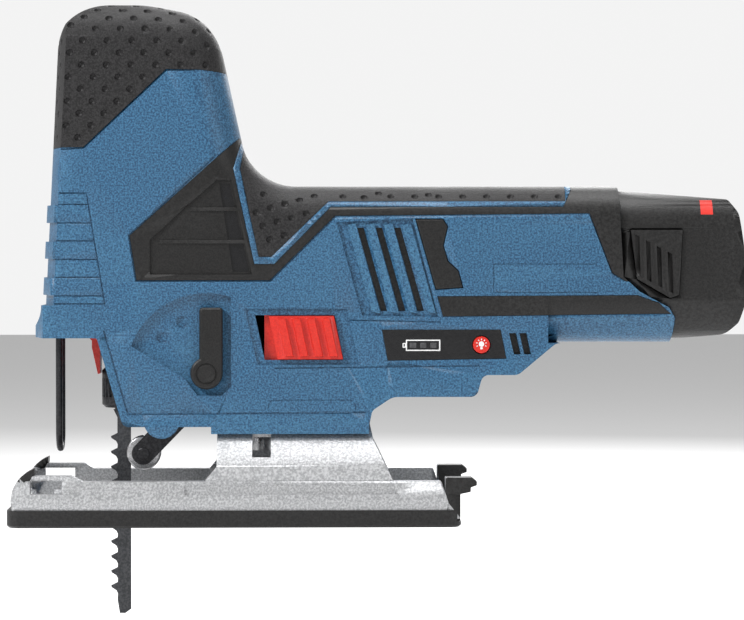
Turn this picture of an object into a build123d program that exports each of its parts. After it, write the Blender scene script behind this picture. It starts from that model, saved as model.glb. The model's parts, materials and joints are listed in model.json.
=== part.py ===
from build123d import *
from math import cos, pi, radians, sin, sqrt, tan
import os

# Cordless barrel-grip jigsaw. Millimetres. The origin is where the blade's centre line
# crosses the sole. The front of the tool is -X, the battery is at +X, up is +Z.
# The left side of the tool (switch, orbit lever, display) is -Y.

os.makedirs("parts", exist_ok=True)

# ---- driving dimensions: housing ----
half_width = 28.0          # half the width of head and barrel
side_round = 14.0          # radius that rounds the side faces into the top
wall = 3.0                 # housing wall
skin = 1.6                 # depth of the soft and black inlays
inlay_gap = 0.15           # shadow gap between an inlay and its seat

knob_top = 190.9           # height of the knob
front_lean = 2.8           # degrees, the front face leans back
front_bow = 4.7            # how far the front face bows out at the middle
front_x = -28.2            # middle of the front face at the lip's height
front_corner = 21.0        # rounding between front face and knob top
lip_z = 68.6               # underside of the head
lip_x = -31.5              # front of the flared lip
neck_round = 21.0          # hollow between head and barrel
barrel_top = 124.3
barrel_bottom = 66.7
barrel_round = 17.0        # rounding of the barrel's lower edges
barrel_start = 158.0       # where the barrel's underside is free of the lower housing
rear_x = 184.0             # rear end of the housing at its top
foot_z = 36.1              # underside of the lower housing
belly_z = 33.5             # underside of the tilt saddle's cheeks
belly = (34.5, 92.3)       # the saddle cheeks, along X

band_z = (84.3, 97.6, 110.9)  # undersides of the three grip bands in front
band_height = 6.3
band_rise = 1.2
band_rear = -5.0           # rear end of the lowest band
louver_x = 88.0            # front edge of the first cooling slot at its top
louver_pitch = 6.76

# ---- driving dimensions: drive ----
rod_d = 8.0                # plunger rod
run_fit = 0.03             # radial clearance of a running fit
stroke = 18.0
gear_z = 118.7             # crank gear axis
gear_module = 0.8
gear_teeth = 50
pinion_teeth = 8
gear_width = 7.0
gear_x = 13.0              # front face of the crank gear
crank_pin_d = 5.0
axle_d = 8.0
shaft_d = 5.0
motor_d = 35.0
can_wall = 1.5
magnet_wall = 2.8
motor_x = (36.0, 92.0)
frame_x = (23.0, 29.0)       # the drive frame's upright
frame_half = 23.5
bush_z = ((68.0, 76.0), (150.0, 160.0))
bush_d = 12.0
bearing_od = 16.0
bearing_w = 5.0
fan_x = (30.5, 34.5)
fan_r = 15.0
yoke_x = (-6.0, 9.7)
yoke_half_z = 6.7
pin_gap = 0.3              # the crank pin stops short of the yoke
rod_z_ends = (44.0, 168.0)

# ---- driving dimensions: blade and guide ----
blade_length = 99.8
blade_body = 5.05          # blade body behind the teeth
tooth_depth = 2.45
tooth_pitch = 5.6
blade_thick = 1.2
blade_tip = -35.3
clamp_z = (42.0, 57.0)
clamp_d = 14.0
roller_r = 6.4
roller_x = 8.6
roller_z = 25.0
roller_pin_d = 3.0
fork_pivot = (27.0, 44.0)

# ---- driving dimensions: base ----
saddle_r = 42.0            # housing saddle about the tilt axis
saddle_gap = 0.4
arch_wall = 5.0
plate_front = -39.0
plate_rear = 123.0
plate_half = 37.3
rim_z = 16.7
rim_wall = 6.5
web_z = (2.0, 6.0)
shoe_top = 6.3
window_half = 7.5

# ---- driving dimensions: battery ----
pack_end = 231.0
pack_inset = 1.4           # the pack's head stands this far inside the barrel's outline
pack_gap = 0.4
stick_x = 147.0
stick_half = 22.5
cell_d = 18.4
cell_length = 65.0

# ---- worked out ----
gear_r = gear_module * gear_teeth / 2
pinion_r = gear_module * pinion_teeth / 2
motor_z = gear_z - gear_r - pinion_r
rod_r = rod_d / 2
barrel_mid = (barrel_top + barrel_bottom) / 2
far = 260.0


# ---- helpers ----
def side_prism(points, y_from, y_to, corner=0.0):
    """A side-view polygon (X, Z), extruded between two Y values."""
    with BuildPart() as prism:
        with BuildSketch(Plane.XZ.offset(-y_to)) as face:
            with BuildLine():
                Polyline(*points, close=True)
            make_face()
            if corner:
                fillet(face.vertices(), corner)
        extrude(amount=y_to - y_from)
    return prism.part


def near_far(side, inner, outer):
    """The Y range between two distances from the middle, on the left (-1) or right (1)."""
    low, high = sorted((side * inner, side * outer))
    return low, high


def block(x, y, z):
    """A plain block from three ranges, for cutting and joining."""
    with BuildPart() as body:
        with Locations(((x[0] + x[1]) / 2, (y[0] + y[1]) / 2, (z[0] + z[1]) / 2)):
            Box(x[1] - x[0], y[1] - y[0], z[1] - z[0])
    return body.part


def rod_x(radius, x, y, z):
    """A cylinder along X."""
    with BuildPart() as body:
        with BuildSketch(Plane.YZ.offset(x[0])):
            with Locations((y, z)):
                Circle(radius)
        extrude(amount=x[1] - x[0])
    return body.part


def rod_y(radius, x, z, y):
    """A cylinder along Y."""
    with BuildPart() as body:
        with BuildSketch(Plane.XZ.offset(-y[1])):
            with Locations((x, z)):
                Circle(radius)
        extrude(amount=y[1] - y[0])
    return body.part


def rod_z(radius, x, y, z):
    """A cylinder along Z."""
    with BuildPart() as body:
        with BuildSketch(Plane.XY.offset(z[0])):
            with Locations((x, y)):
                Circle(radius)
        extrude(amount=z[1] - z[0])
    return body.part


def write(part, name):
    """Label one piece and write its file."""
    part.label = name
    export_step(part, "parts/" + name + ".step")
    return part


# ---- housing envelope ----
rear_outline = [
    (rear_x, 140), (rear_x + 0.6, 110), (rear_x + 1.7, 91), (rear_x + 7.6, 85.6),
    (rear_x + 18.5, 79.7), (rear_x + 20.8, 75.9), (rear_x + 19.4, 50),
]


def envelope(inset):
    """The housing's outer body, or the same body with every face moved in by inset."""
    outline = [
        (-70, knob_top), (10, knob_top + 0.3), (35.3, knob_top - 4.6),
        (48.9, barrel_top), (far, barrel_top),
        (far, barrel_bottom), (161, barrel_bottom), (147, 55), (134, 55), (131.8, 47),
        (101, 47), (93.5, 42), (92.3, foot_z), (2.3, foot_z), (-7.2, lip_z), (-70, lip_z),
    ]
    corners = [0, 60, 20, neck_round, 0, 0, 4, 4, 3, 3, 6, 3, 2, 3, 1, 0]
    with BuildPart() as body:
        with BuildSketch(Plane.XZ):
            with BuildLine():
                FilletPolyline(*outline, radius=corners, close=True)
            make_face()
            if inset:
                offset(amount=-inset, kind=Kind.INTERSECTION)
        extrude(amount=half_width - inset, both=True)
        sides = body.edges().filter_by(lambda e: abs(e.center().Y) > half_width - inset - 0.1)
        fillet(sides.filter_by(lambda e: e.center().Z > barrel_bottom + 40), side_round - inset)
        with BuildSketch(Plane.XZ):
            with BuildLine():
                lean = tan(radians(front_lean))
                FilletPolyline(
                    (front_x + inset, 0), (front_x + inset, lip_z),
                    (front_x + inset + lean * (knob_top - lip_z), knob_top - inset),
                    (far, knob_top - inset), (far, 0),
                    radius=[0, 0, front_corner - inset, 0, 0], close=True,
                )
            make_face()
        extrude(amount=half_width, both=True, mode=Mode.INTERSECT)
        with BuildSketch(Plane.XY.offset(-20)):
            with BuildLine():
                back = (far - 20, half_width)
                lead = front_x + inset - (lip_z + 20) * lean
                ThreePointArc(
                    (lead + front_bow, half_width), (lead, 0), (lead + front_bow, -half_width)
                )
                Polyline((lead + front_bow, -half_width), (back[0], -back[1]), back,
                         (lead + front_bow, half_width))
            make_face()
        extrude(amount=far / cos(radians(front_lean)), dir=(lean, 0, 1), mode=Mode.INTERSECT)
        corner_r = barrel_round - inset
        edge_y = half_width - inset
        edge_z = barrel_bottom + inset
        for side in (-1, 1):
            with BuildSketch(Plane.YZ.offset(barrel_start - inset)) as strip:
                with Locations((side * (edge_y - corner_r / 2), edge_z + corner_r / 2)):
                    Rectangle(corner_r, corner_r)
                with Locations((side * (edge_y - corner_r), edge_z + corner_r)):
                    Circle(corner_r, mode=Mode.SUBTRACT)
            extrude(strip.sketch, amount=far, mode=Mode.SUBTRACT)
    return body.part


outer = envelope(0) - side_prism(rear_outline + [(far, 50), (far, 140)], -40, 40)
under_skin = envelope(skin)
cavity = envelope(wall)


seat = cavity - rod_x(saddle_r + wall, (-70, 130), 0, 0)
lever_axis = (32.9, 55.8)
lever_reach = 29.3
recess_depth = 2.0
throat_x = (-12.0, 34.0)
throat_half = 9.6
throat_wall = 3.0
release_axis = (-12.5, 76.0)
worklight_at = (-16.0, 17.0)
release_half = 5.0
guard_x = -22.5
guard_z = (26.8, 80.0)
guard_half = 7.0
guard_r = 1.25
screw_x = 53.0             # clamping screw of the tilt
lamp_at = (133.5, 66.1)
lamp_r = 3.1
screw_places = [(-14, 90), (28, 176), (40.6, 53), (98, 60), (116, 110), (142, 113)]
screw_r = 1.7


# ---- side regions (X, Z) of the soft and black inlays ----
knob_region = [(-60, 137.6), (-12, 138.4), (18.2, 166.9), (31.5, 166.7), (70, 162.5), (70, 210),
               (-60, 210)]
grip_region = [(48.6, 150), (45.2, 130.6), (52, 98.4), (56.5, 98.4), (77.5, 118.7),
               (164.4, 118.9), (165.6, 140)]
grip_edge = [(48.0, 150), (42.7, 130.6), (50.4, 95.8), (57.6, 95.8), (78.2, 116.6),
             (163.6, 116.8), (166.8, 123), (167, 140)]
panel_region = [(47.5, 144.3), (4.9, 106.1), (7.4, 89.8), (56, 89.8), (79.9, 113.4),
                (173.2, 114.3), (181.7, 92.4), (186.5, 89.4), (200, 89.4), (200, 140), (60, 150)]
pad_region = [(109.3, 112.2), (119.5, 112.2), (121.2, 109.4), (119.6, 102.4), (121.3, 96.8),
              (125.1, 93.3), (126.8, 87), (116.7, 86.3)]
strip_region = [(117.4, 83.8), (190.6, 84.2), (198.7, 81.4), (203, 77.5), (119.5, 76.5)]
display_region = [(97.1, 71.6), (140.5, 71.6), (142.6, 61.1), (99.2, 60.4)]
slider_region = [(55.6, 76.7), (79.4, 76.7), (82.7, 60.9), (58.9, 60.9)]
window_region = [(50.6, 77.0), (79.7, 77.0), (83.0, 60.6), (54.1, 60.6)]


def inlay(points, side, grow):
    """Prism over a side region, from the skin's depth outwards, grown for the pocket."""
    with BuildPart() as prism:
        with BuildSketch(Plane.XZ) as face:
            with BuildLine():
                Polyline(*points, close=True)
            make_face()
            if grow:
                offset(amount=grow, kind=Kind.INTERSECTION)
        extrude(amount=-side * (half_width + 5))
    return prism.part


shell_ring = outer - under_skin        # everything within a skin's depth of the surface


def soft_piece(points, side, minus=None):
    """An inlay that fills a side region to the skin's depth."""
    part = shell_ring & inlay(points, side, 0)
    if minus is not None:
        part = part - inlay(minus, side, inlay_gap)
    return part


# ---- housing shells ----
def front_bands(side):
    """The three raised bands around the front corner and the flared lip below them."""
    lean = tan(radians(front_lean))
    bands = Part()
    grown = envelope(-band_rise)
    for low in band_z:
        top = low + band_height
        reach = band_rear - (low - band_z[0]) * 0.165
        rear = [(-60, low), (reach, low), (reach - 1.1, top), (-60, top)]
        bands += grown & side_prism(rear, *near_far(side, 0, half_width + 0.7))
    with BuildPart() as lip:
        with BuildSketch(Plane.XY.offset(lip_z)):
            with BuildLine():
                ThreePointArc((lip_x + front_bow, half_width), (lip_x, 0),
                              (lip_x + front_bow, -half_width))
                Polyline((lip_x + front_bow, -half_width), (-7, -half_width),
                         (-7, half_width), (lip_x + front_bow, half_width))
            make_face()
        extrude(amount=12)
        flare = front_x + lean * 12
        with BuildSketch(Plane.XZ):
            with BuildLine():
                Polyline((lip_x, lip_z), (lip_x, lip_z + 3.8))
                RadiusArc((lip_x, lip_z + 3.8), (flare, lip_z + 12), -10)
                Polyline((flare, lip_z + 12), (0, lip_z + 12), (0, lip_z), (lip_x, lip_z))
            make_face()
        extrude(amount=half_width, both=True, mode=Mode.INTERSECT)
    half = block((-60, 0), near_far(side, 0, half_width + 2), (60, 120))
    return bands + ((lip.part & half) - under_skin)


def shell(side):
    """One housing half with its pockets, walls, ribs and openings."""
    half = block((-70, far), near_far(side, 0, half_width + 5), (0, 220))
    body = (outer - seat) & half
    body += front_bands(side)
    # saddle cheeks beside the tilt bracket
    body += block(belly, near_far(side, 24, half_width), (belly_z, 44))
    # roller boss bulging below the lower edge
    body += rod_y(6.5, 16.4, 38.3, near_far(side, 20, half_width))
    # pads that hold the drive frame
    pad = rod_y(31.5, *lever_axis, near_far(side, frame_half, half_width - wall + 0.5))
    body += pad & (seat & half) & block((0, 45), (-40, 40), (20, 100))
    # bosses of the release lever's pin
    boss = block((-16.5, -9), near_far(side, release_half + 1, 12.5), (lip_z + 1, 80))
    body += boss & (outer & half)
    # throat walls around the plunger and fork
    throat = block((-8, 38), near_far(side, throat_half, throat_half + throat_wall), (30, 64))
    body += throat & (outer & half)
    # ribs that carry the motor
    for rib in ((44, 47), (80, 83)):
        ring = block(rib, near_far(side, 0, half_width), (motor_z - 18, barrel_top))
        body += (ring & seat) - rod_x(motor_d / 2 + 0.1, rib, 0, motor_z)
    # screw bosses
    for x, z in screw_places:
        body += rod_y(3.6, x, z, near_far(side, 0, half_width - wall + 0.5)) & (seat & half)
    body -= rod_x(saddle_r, (-70, 130), 0, 0)
    # throat opening and the holes in the head's floor
    body -= block((-8, throat_x[1]), near_far(side, 0, throat_half), (20, 66))
    body -= block((-19, 12), near_far(side, 0, release_half + 0.4), (60, 79))
    body -= rod_z(3.1, screw_x, 0, (30, 60))
    body -= rod_z(guard_r + 0.05, guard_x, side * guard_half, (60, 80.2))
    body -= rod_z(2.55, *worklight_at, (60, 76))
    # inlay pockets
    for region in (knob_region, grip_region, pad_region, strip_region):
        body -= shell_ring & inlay(region, side, inlay_gap)
    body -= (shell_ring & inlay(panel_region, side, inlay_gap)) - inlay(grip_edge, side, 0)
    # cooling slots between slanted slats
    for i in range(3):
        x = louver_x + i * louver_pitch
        slot = [(x, 109), (x + 2.4, 109), (x + 11, 78.5), (x + 8.6, 78.5)]
        body -= side_prism(slot, *near_far(side, 20, half_width + 5))
    for x in (143.6, 147.4):
        slot = [(x, 70.4), (x + 2.6, 70.4), (x + 4.4, 62.6), (x + 1.8, 62.6)]
        body -= side_prism(slot, *near_far(side, 20, half_width + 5))
    return body


def lever_recess():
    """The stepped sector that the orbit lever swings in, cut into the left half."""
    with BuildPart() as cut:
        with BuildSketch(Plane.XZ.offset(half_width - recess_depth)):
            with Locations(lever_axis):
                Circle(lever_reach)
            with BuildLine():
                Polyline((2, 67.7), (2, 90), (41.8, 90), (41.8, 51), (38.5, 47.6), (29.5, 47.6),
                         (25, 53.8), close=True)
            make_face(mode=Mode.INTERSECT)
        extrude(amount=10)
        with BuildSketch(Plane.XZ.offset(half_width - recess_depth)):
            for angle in (115.5, 141):
                with Locations((lever_axis[0] + 20.8 * cos(radians(angle)),
                                lever_axis[1] + 20.8 * sin(radians(angle)))):
                    Circle(2.2)
        extrude(amount=-0.8)
    return cut.part


print("building shells")
left_shell = shell(-1) - lever_recess()
left_shell -= rod_y(3 + run_fit, *lever_axis, (-30, -8))
left_shell -= side_prism(window_region, -40, -20)
left_shell -= shell_ring & inlay(display_region, -1, inlay_gap)
left_shell -= rod_y(lamp_r + 0.3, *lamp_at, (-40, -20))
right_shell = shell(1)
for x, z in screw_places:
    left_shell -= rod_y(1.3, x, z, (-16, 0))
    right_shell -= rod_y(screw_r + 0.15, x, z, (-1, 40))
    right_shell -= rod_y(3.4, x, z, (half_width - 8, 40))
pin_holes = rod_y(2.02, *fork_pivot, (-14, 14)) + rod_y(1.52, *release_axis, (-12.5, 12.5))
left_shell -= pin_holes
right_shell -= pin_holes
write(left_shell, "left_housing_shell")
write(right_shell, "right_housing_shell")
for side, word in ((-1, "left"), (1, "right")):
    for name, region, minus in (
        ("knob_grip", knob_region, None), ("barrel_grip", grip_region, None),
        ("vent_panel", panel_region, grip_edge), ("side_pad", pad_region, None),
        ("side_strip", strip_region, None),
    ):
        piece = soft_piece(region, side, minus)
        write(piece, word + "_" + name)


# ---- drive frame, bushes, bearings ----
print("building drive")


def drive_frame():
    """Cast upright with two arms that hold the plunger's bushes."""
    with BuildPart() as frame:
        with Locations(((frame_x[0] + frame_x[1]) / 2, 0, 112)):
            Box(frame_x[1] - frame_x[0], 2 * frame_half, 96)
        for low, high in bush_z:
            with Locations(((frame_x[1] - 8.5) / 2, 0, (low + high) / 2)):
                Box(frame_x[1] + 8.5, 17, high - low)
        fillet(frame.edges().filter_by(Axis.Z).filter_by(lambda e: e.center().X < 0), 3)
        with BuildSketch(Plane.YZ.offset(frame_x[0] - 1)):
            with Locations((0, gear_z)):
                Circle(axle_d / 2)
            with Locations((0, motor_z)):
                Circle(bearing_od / 2 + 0.01)
        extrude(amount=10, mode=Mode.SUBTRACT)
        for low, high in bush_z:
            with BuildSketch(Plane.XY.offset(low - 1)):
                Circle(bush_d / 2)
            extrude(amount=high - low + 2, mode=Mode.SUBTRACT)
        with GridLocations(0, 36, 1, 2):
            with Locations(((frame_x[0] + frame_x[1]) / 2, 0, 144)):
                Cylinder(1.7, 20, rotation=(0, 90, 0), mode=Mode.SUBTRACT)
    keep = seat & block((-20, 60), (-frame_half, frame_half), (40, 160))
    return frame.part & keep


def ring_z(outer_r, inner_r, z):
    """A plain bush about the plunger's axis."""
    with BuildPart() as ring:
        with BuildSketch(Plane.XY.offset(z[0])):
            Circle(outer_r)
            Circle(inner_r, mode=Mode.SUBTRACT)
        extrude(amount=z[1] - z[0])
        chamfer(ring.edges().filter_by(GeomType.CIRCLE).sort_by(SortBy.RADIUS)[-2:], 0.4)
    return ring.part


def bearing(x, outer_d, bore_d, width):
    """A sealed ball bearing on the motor's axis: two rings with a seal between."""
    with BuildPart() as race:
        with BuildSketch(Plane.YZ.offset(x)):
            with Locations((0, motor_z)):
                Circle(outer_d / 2)
                Circle(bore_d / 2, mode=Mode.SUBTRACT)
        extrude(amount=width)
        with BuildSketch(Plane.YZ.offset(x)):
            with Locations((0, motor_z)):
                Circle(outer_d / 2 - 1.4)
                Circle(bore_d / 2 + 1.2, mode=Mode.SUBTRACT)
        extrude(amount=0.5, mode=Mode.SUBTRACT)
    return race.part


def gear_profile(teeth, module, y, z, angle=0.0):
    """A spur gear's outline with straight-flanked teeth, in the plane of the sketch."""
    pitch_r = module * teeth / 2
    tip_r = pitch_r + module * 0.92
    root_r = pitch_r - module * 1.2
    step = 2 * pi / teeth
    half_root = 0.31 * step
    half_pitch = 0.205 * step
    half_tip = 0.085 * step
    points = []
    for i in range(teeth):
        mid = i * step + radians(angle)
        for radius, turn in (
            (root_r, -half_root), (pitch_r, -half_pitch), (tip_r, -half_tip),
            (tip_r, half_tip), (pitch_r, half_pitch), (root_r, half_root),
        ):
            points.append((y + radius * cos(mid + turn), z + radius * sin(mid + turn)))
    return points


def crank_gear():
    """Crank gear with its hub, lightening holes and the crank pin on its front face."""
    with BuildPart() as gear:
        with BuildSketch(Plane.YZ.offset(gear_x)):
            with BuildLine():
                Polyline(*gear_profile(gear_teeth, gear_module, 0, gear_z), close=True)
            make_face()
        extrude(amount=gear_width)
        with BuildSketch(Plane.YZ.offset(gear_x + gear_width)):
            with Locations((0, gear_z)):
                Circle(7.5)
        extrude(amount=frame_x[0] - gear_x - gear_width - 0.4)
        with BuildSketch(Plane.YZ.offset(gear_x)):
            with Locations((0, gear_z)):
                Circle(axle_d / 2 + run_fit)
        extrude(amount=20, mode=Mode.SUBTRACT)
        with BuildSketch(Plane.YZ.offset(gear_x)):
            with Locations((0, gear_z)):
                with PolarLocations(13, 5, start_angle=126):
                    Circle(3.4)
        extrude(amount=gear_width, mode=Mode.SUBTRACT)
        with BuildSketch(Plane.YZ.offset(gear_x)):
            with Locations((stroke / 2, gear_z)):
                Circle(crank_pin_d / 2)
        extrude(amount=-(gear_x - yoke_x[1] - pin_gap))
    return gear.part


def yoke():
    """Slotted yoke block, clamped on the plunger."""
    with BuildPart() as block_part:
        with BuildSketch(Plane.YZ.offset(yoke_x[0])):
            with Locations((0, gear_z)):
                RectangleRounded(31, 2 * yoke_half_z, 3)
        extrude(amount=yoke_x[1] - yoke_x[0])
        with BuildSketch(Plane.YZ.offset(5)):
            with Locations((0, gear_z)):
                SlotOverall(stroke + crank_pin_d + 0.6, crank_pin_d + 0.2)
        extrude(amount=10, mode=Mode.SUBTRACT)
        with Locations((0, 0, gear_z)):
            Cylinder(rod_r, 40, mode=Mode.SUBTRACT)
        with Locations((yoke_x[0], 11, gear_z), (yoke_x[0], -11, gear_z)):
            Cylinder(2, 6, rotation=(0, 90, 0), mode=Mode.SUBTRACT)
    return block_part.part


def plunger():
    """Plunger rod with the pocket for the blade's shank."""
    with BuildPart() as rod:
        with BuildSketch(Plane.XY.offset(rod_z_ends[0])):
            Circle(rod_r)
        extrude(amount=rod_z_ends[1] - rod_z_ends[0])
        chamfer(rod.edges().filter_by(GeomType.CIRCLE).sort_by(Axis.Z)[-1], 0.8)
        with Locations((0, 0, rod_z_ends[0])):
            Box(5.0, blade_thick + 0.1, 2 * (blade_tip + blade_length - rod_z_ends[0] + 0.3),
                mode=Mode.SUBTRACT)
    return rod.part


def blade_clamp():
    """Knurled clamp sleeve round the end of the plunger."""
    with BuildPart() as sleeve:
        with BuildSketch(Plane.XY.offset(clamp_z[0])):
            Circle(clamp_d / 2)
        extrude(amount=clamp_z[1] - clamp_z[0])
        chamfer(sleeve.edges().filter_by(GeomType.CIRCLE), 1.2)
        with BuildSketch(Plane.XY.offset(rod_z_ends[0])):
            Circle(rod_r)
        extrude(amount=20, mode=Mode.SUBTRACT)
        with Locations((0, 0, clamp_z[0])):
            Box(5.2, blade_thick + 0.4, 10, mode=Mode.SUBTRACT)
        with BuildSketch(Plane.XY.offset(clamp_z[0] + 4)):
            with PolarLocations(clamp_d / 2 + 0.25, 24):
                Circle(0.6)
        extrude(amount=clamp_z[1] - clamp_z[0] - 8, mode=Mode.SUBTRACT)
    return sleeve.part


def saw_blade():
    """T-shank blade: body, coarse teeth on the front edge, shank with its two lugs."""
    back = blade_body + tooth_depth
    front = -back / 2
    top = blade_tip + blade_length
    gullet = front + tooth_depth
    body_top = clamp_z[0] - 0.8
    outline = [(back / 2, body_top), (2.2, body_top), (2.2, top - 9), (1.5, top - 7.6),
               (1.5, top - 5.6), (2.3, top - 4.4), (2.3, top - 1.4), (1.2, top),
               (-1.2, top), (-2.3, top - 1.4), (-2.3, top - 4.4), (-1.5, top - 5.6),
               (-1.5, top - 7.6), (-2.2, top - 9), (-2.2, body_top), (front + 1.0, body_top),
               (gullet, body_top - 3)]
    count = 11
    first = blade_tip + 6 + count * tooth_pitch
    for i in range(count):
        z = first - i * tooth_pitch
        outline += [(gullet, z), (front, z - 1.2), (front + 0.2, z - 1.9),
                    (gullet - 0.5, z - 3.0), (gullet + 0.1, z - 4.2)]
    outline += [(gullet, blade_tip + 5), (gullet + 0.8, blade_tip), (back / 2 - 2.2, blade_tip),
                (back / 2, blade_tip + 1.6)]
    return side_prism(outline, -blade_thick / 2, blade_thick / 2)


write(drive_frame(), "drive_frame")
write(ring_z(bush_d / 2, rod_r + run_fit, bush_z[0]), "lower_plunger_bush")
write(ring_z(bush_d / 2, rod_r + run_fit, bush_z[1]), "upper_plunger_bush")
write(rod_x(axle_d / 2, (gear_x + 0.3, frame_x[1]), 0, gear_z), "gear_axle")
write(crank_gear(), "crank_gear")
write(yoke(), "yoke")
write(plunger(), "plunger_rod")
write(blade_clamp(), "blade_clamp")
write(saw_blade(), "saw_blade")


# ---- motor ----
bell_x = (motor_x[1], motor_x[1] + 9)


def motor_can():
    """Deep-drawn motor can with two cooling windows, open at the rear."""
    with BuildPart() as can:
        with BuildSketch(Plane.YZ.offset(motor_x[0])):
            with Locations((0, motor_z)):
                Circle(motor_d / 2)
        extrude(amount=motor_x[1] - motor_x[0])
        fillet(can.edges().filter_by(GeomType.CIRCLE).sort_by(Axis.X)[0], 2)
        with BuildSketch(Plane.YZ.offset(motor_x[0] + can_wall)):
            with Locations((0, motor_z)):
                Circle(motor_d / 2 - can_wall)
        extrude(amount=80, mode=Mode.SUBTRACT)
        with BuildSketch(Plane.YZ.offset(motor_x[0] - 1)):
            with Locations((0, motor_z)):
                Circle(5)
        extrude(amount=5, mode=Mode.SUBTRACT)
        with Locations((motor_x[0] + 9, 0, motor_z)):
            Box(6, 60, 12, mode=Mode.SUBTRACT)
    return can.part


def end_bell():
    """Brush holder that closes the motor can and carries the rear bearing."""
    with BuildPart() as bell:
        with BuildSketch(Plane.YZ.offset(bell_x[0])):
            with Locations((0, motor_z)):
                Circle(motor_d / 2)
        extrude(amount=bell_x[1] - bell_x[0])
        chamfer(bell.edges().filter_by(GeomType.CIRCLE).sort_by(Axis.X)[-1], 1)
        with BuildSketch(Plane.YZ.offset(bell_x[0] - 1)):
            with Locations((0, motor_z)):
                Circle(bearing_od / 2 + 0.01)
        extrude(amount=2 + bearing_w, mode=Mode.SUBTRACT)
        with BuildSketch(Plane.YZ.offset(bell_x[0])):
            with Locations((0, motor_z)):
                Circle(shaft_d / 2 + 0.6)
        extrude(amount=30, mode=Mode.SUBTRACT)
        for side in (-1, 1):
            with Locations((bell_x[1] + 1.5, side * 11, motor_z)):
                Box(5, 4, 8)
    return bell.part


def fan():
    """Cooling fan behind the drive frame: hub, disc and curved blades."""
    with BuildPart() as wheel:
        with BuildSketch(Plane.YZ.offset(fan_x[1] - 1.2)):
            with Locations((0, motor_z)):
                Circle(fan_r)
        extrude(amount=1.2)
        with BuildSketch(Plane.YZ.offset(fan_x[0])):
            with Locations((0, motor_z)):
                Circle(5)
        extrude(amount=fan_x[1] - fan_x[0])
        with BuildSketch(Plane.YZ.offset(fan_x[0])):
            with Locations((0, motor_z)):
                with PolarLocations(9.6, 9):
                    Rectangle(8.5, 1.0, rotation=28)
        extrude(amount=fan_x[1] - fan_x[0] - 1)
        with BuildSketch(Plane.YZ.offset(fan_x[0])):
            with Locations((0, motor_z)):
                Circle(shaft_d / 2)
        extrude(amount=10, mode=Mode.SUBTRACT)
    return wheel.part


def pinion():
    """Motor pinion, meshing with the crank gear above it."""
    with BuildPart() as small:
        with BuildSketch(Plane.YZ.offset(gear_x + 0.5)):
            with BuildLine():
                Polyline(*gear_profile(pinion_teeth, gear_module, 0, motor_z, 90),
                         close=True)
            make_face()
            with Locations((0, motor_z)):
                Circle(1.5, mode=Mode.SUBTRACT)
        extrude(amount=gear_width - 1)
    return small.part


def armature():
    """Laminated armature with its commutator."""
    with BuildPart() as core:
        with BuildSketch(Plane.YZ.offset(motor_x[0] + 8)):
            with Locations((0, motor_z)):
                Circle(12.5)
                with PolarLocations(11.5, 5):
                    Rectangle(4, 2, mode=Mode.SUBTRACT)
        extrude(amount=34)
        with BuildSketch(Plane.YZ.offset(motor_x[0] + 42)):
            with Locations((0, motor_z)):
                Circle(6.5)
        extrude(amount=9)
        with BuildSketch(Plane.YZ.offset(motor_x[0])):
            with Locations((0, motor_z)):
                Circle(shaft_d / 2)
        extrude(amount=70, mode=Mode.SUBTRACT)
    return core.part


def motor_shaft():
    """Armature shaft, turned down to carry the pinion."""
    pinion_end = gear_x + gear_width
    rear_end = bell_x[0] + bearing_w + 0.5
    body = rod_x(shaft_d / 2 - run_fit, (pinion_end + 0.2, rear_end), 0, motor_z)
    body += rod_x(1.5, (gear_x + 0.5, pinion_end + 1), 0, motor_z)
    return body


def magnets():
    """Two curved magnets inside the motor can."""
    with BuildPart() as arcs:
        with BuildSketch(Plane.YZ.offset(motor_x[0] + 8)):
            with Locations((0, motor_z)):
                Circle(motor_d / 2 - can_wall - 0.05)
                Circle(motor_d / 2 - can_wall - magnet_wall, mode=Mode.SUBTRACT)
                Rectangle(12, 60, mode=Mode.SUBTRACT)
        extrude(amount=36)
    return arcs.part


write(motor_can(), "motor_can")
write(magnets(), "motor_magnets")
write(end_bell(), "motor_end_bell")
write(armature(), "armature")
write(motor_shaft(), "motor_shaft")
write(pinion(), "motor_pinion")
write(fan(), "cooling_fan")
write(bearing(frame_x[0] + 0.5, bearing_od, shaft_d, bearing_w), "front_bearing")
write(bearing(bell_x[0] + 0.4, bearing_od, shaft_d, bearing_w), "rear_bearing")


# ---- pendulum: fork, pins, grooved roller ----
fork_half = 7.0
roller_half = 3.3
blade_gap = 0.3
roller_groove = roller_x - (blade_body + tooth_depth) / 2 - blade_gap


def pendulum_fork():
    """Fork arm from its pivot down to the roller behind the blade."""
    x0, z0 = fork_pivot
    run = sqrt((x0 - roller_x) ** 2 + (z0 - roller_z) ** 2)
    along = ((roller_x - x0) / run, (roller_z - z0) / run)
    wide = 4.2
    side = (-along[1] * wide, along[0] * wide)
    with BuildPart() as fork:
        with BuildSketch(Plane.XZ):
            with BuildLine():
                Polyline((x0 + side[0], z0 + side[1]), (roller_x + side[0], roller_z + side[1]),
                         (roller_x - side[0], roller_z - side[1]), (x0 - side[0], z0 - side[1]),
                         close=True)
            make_face()
            with Locations((x0, z0)):
                Circle(5)
            with Locations((roller_x, roller_z)):
                Circle(wide)
        extrude(amount=fork_half, both=True)
        with BuildSketch(Plane.XZ):
            with Locations((roller_x, roller_z)):
                Circle(roller_r + 1.6)
        extrude(amount=roller_half + 0.4, both=True, mode=Mode.SUBTRACT)
        with BuildSketch(Plane.XZ):
            with Locations((roller_x, roller_z)):
                Circle(roller_pin_d / 2)
            with Locations((x0, z0)):
                Circle(2 + run_fit)
        extrude(amount=fork_half + 1, both=True, mode=Mode.SUBTRACT)
    return fork.part


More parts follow.
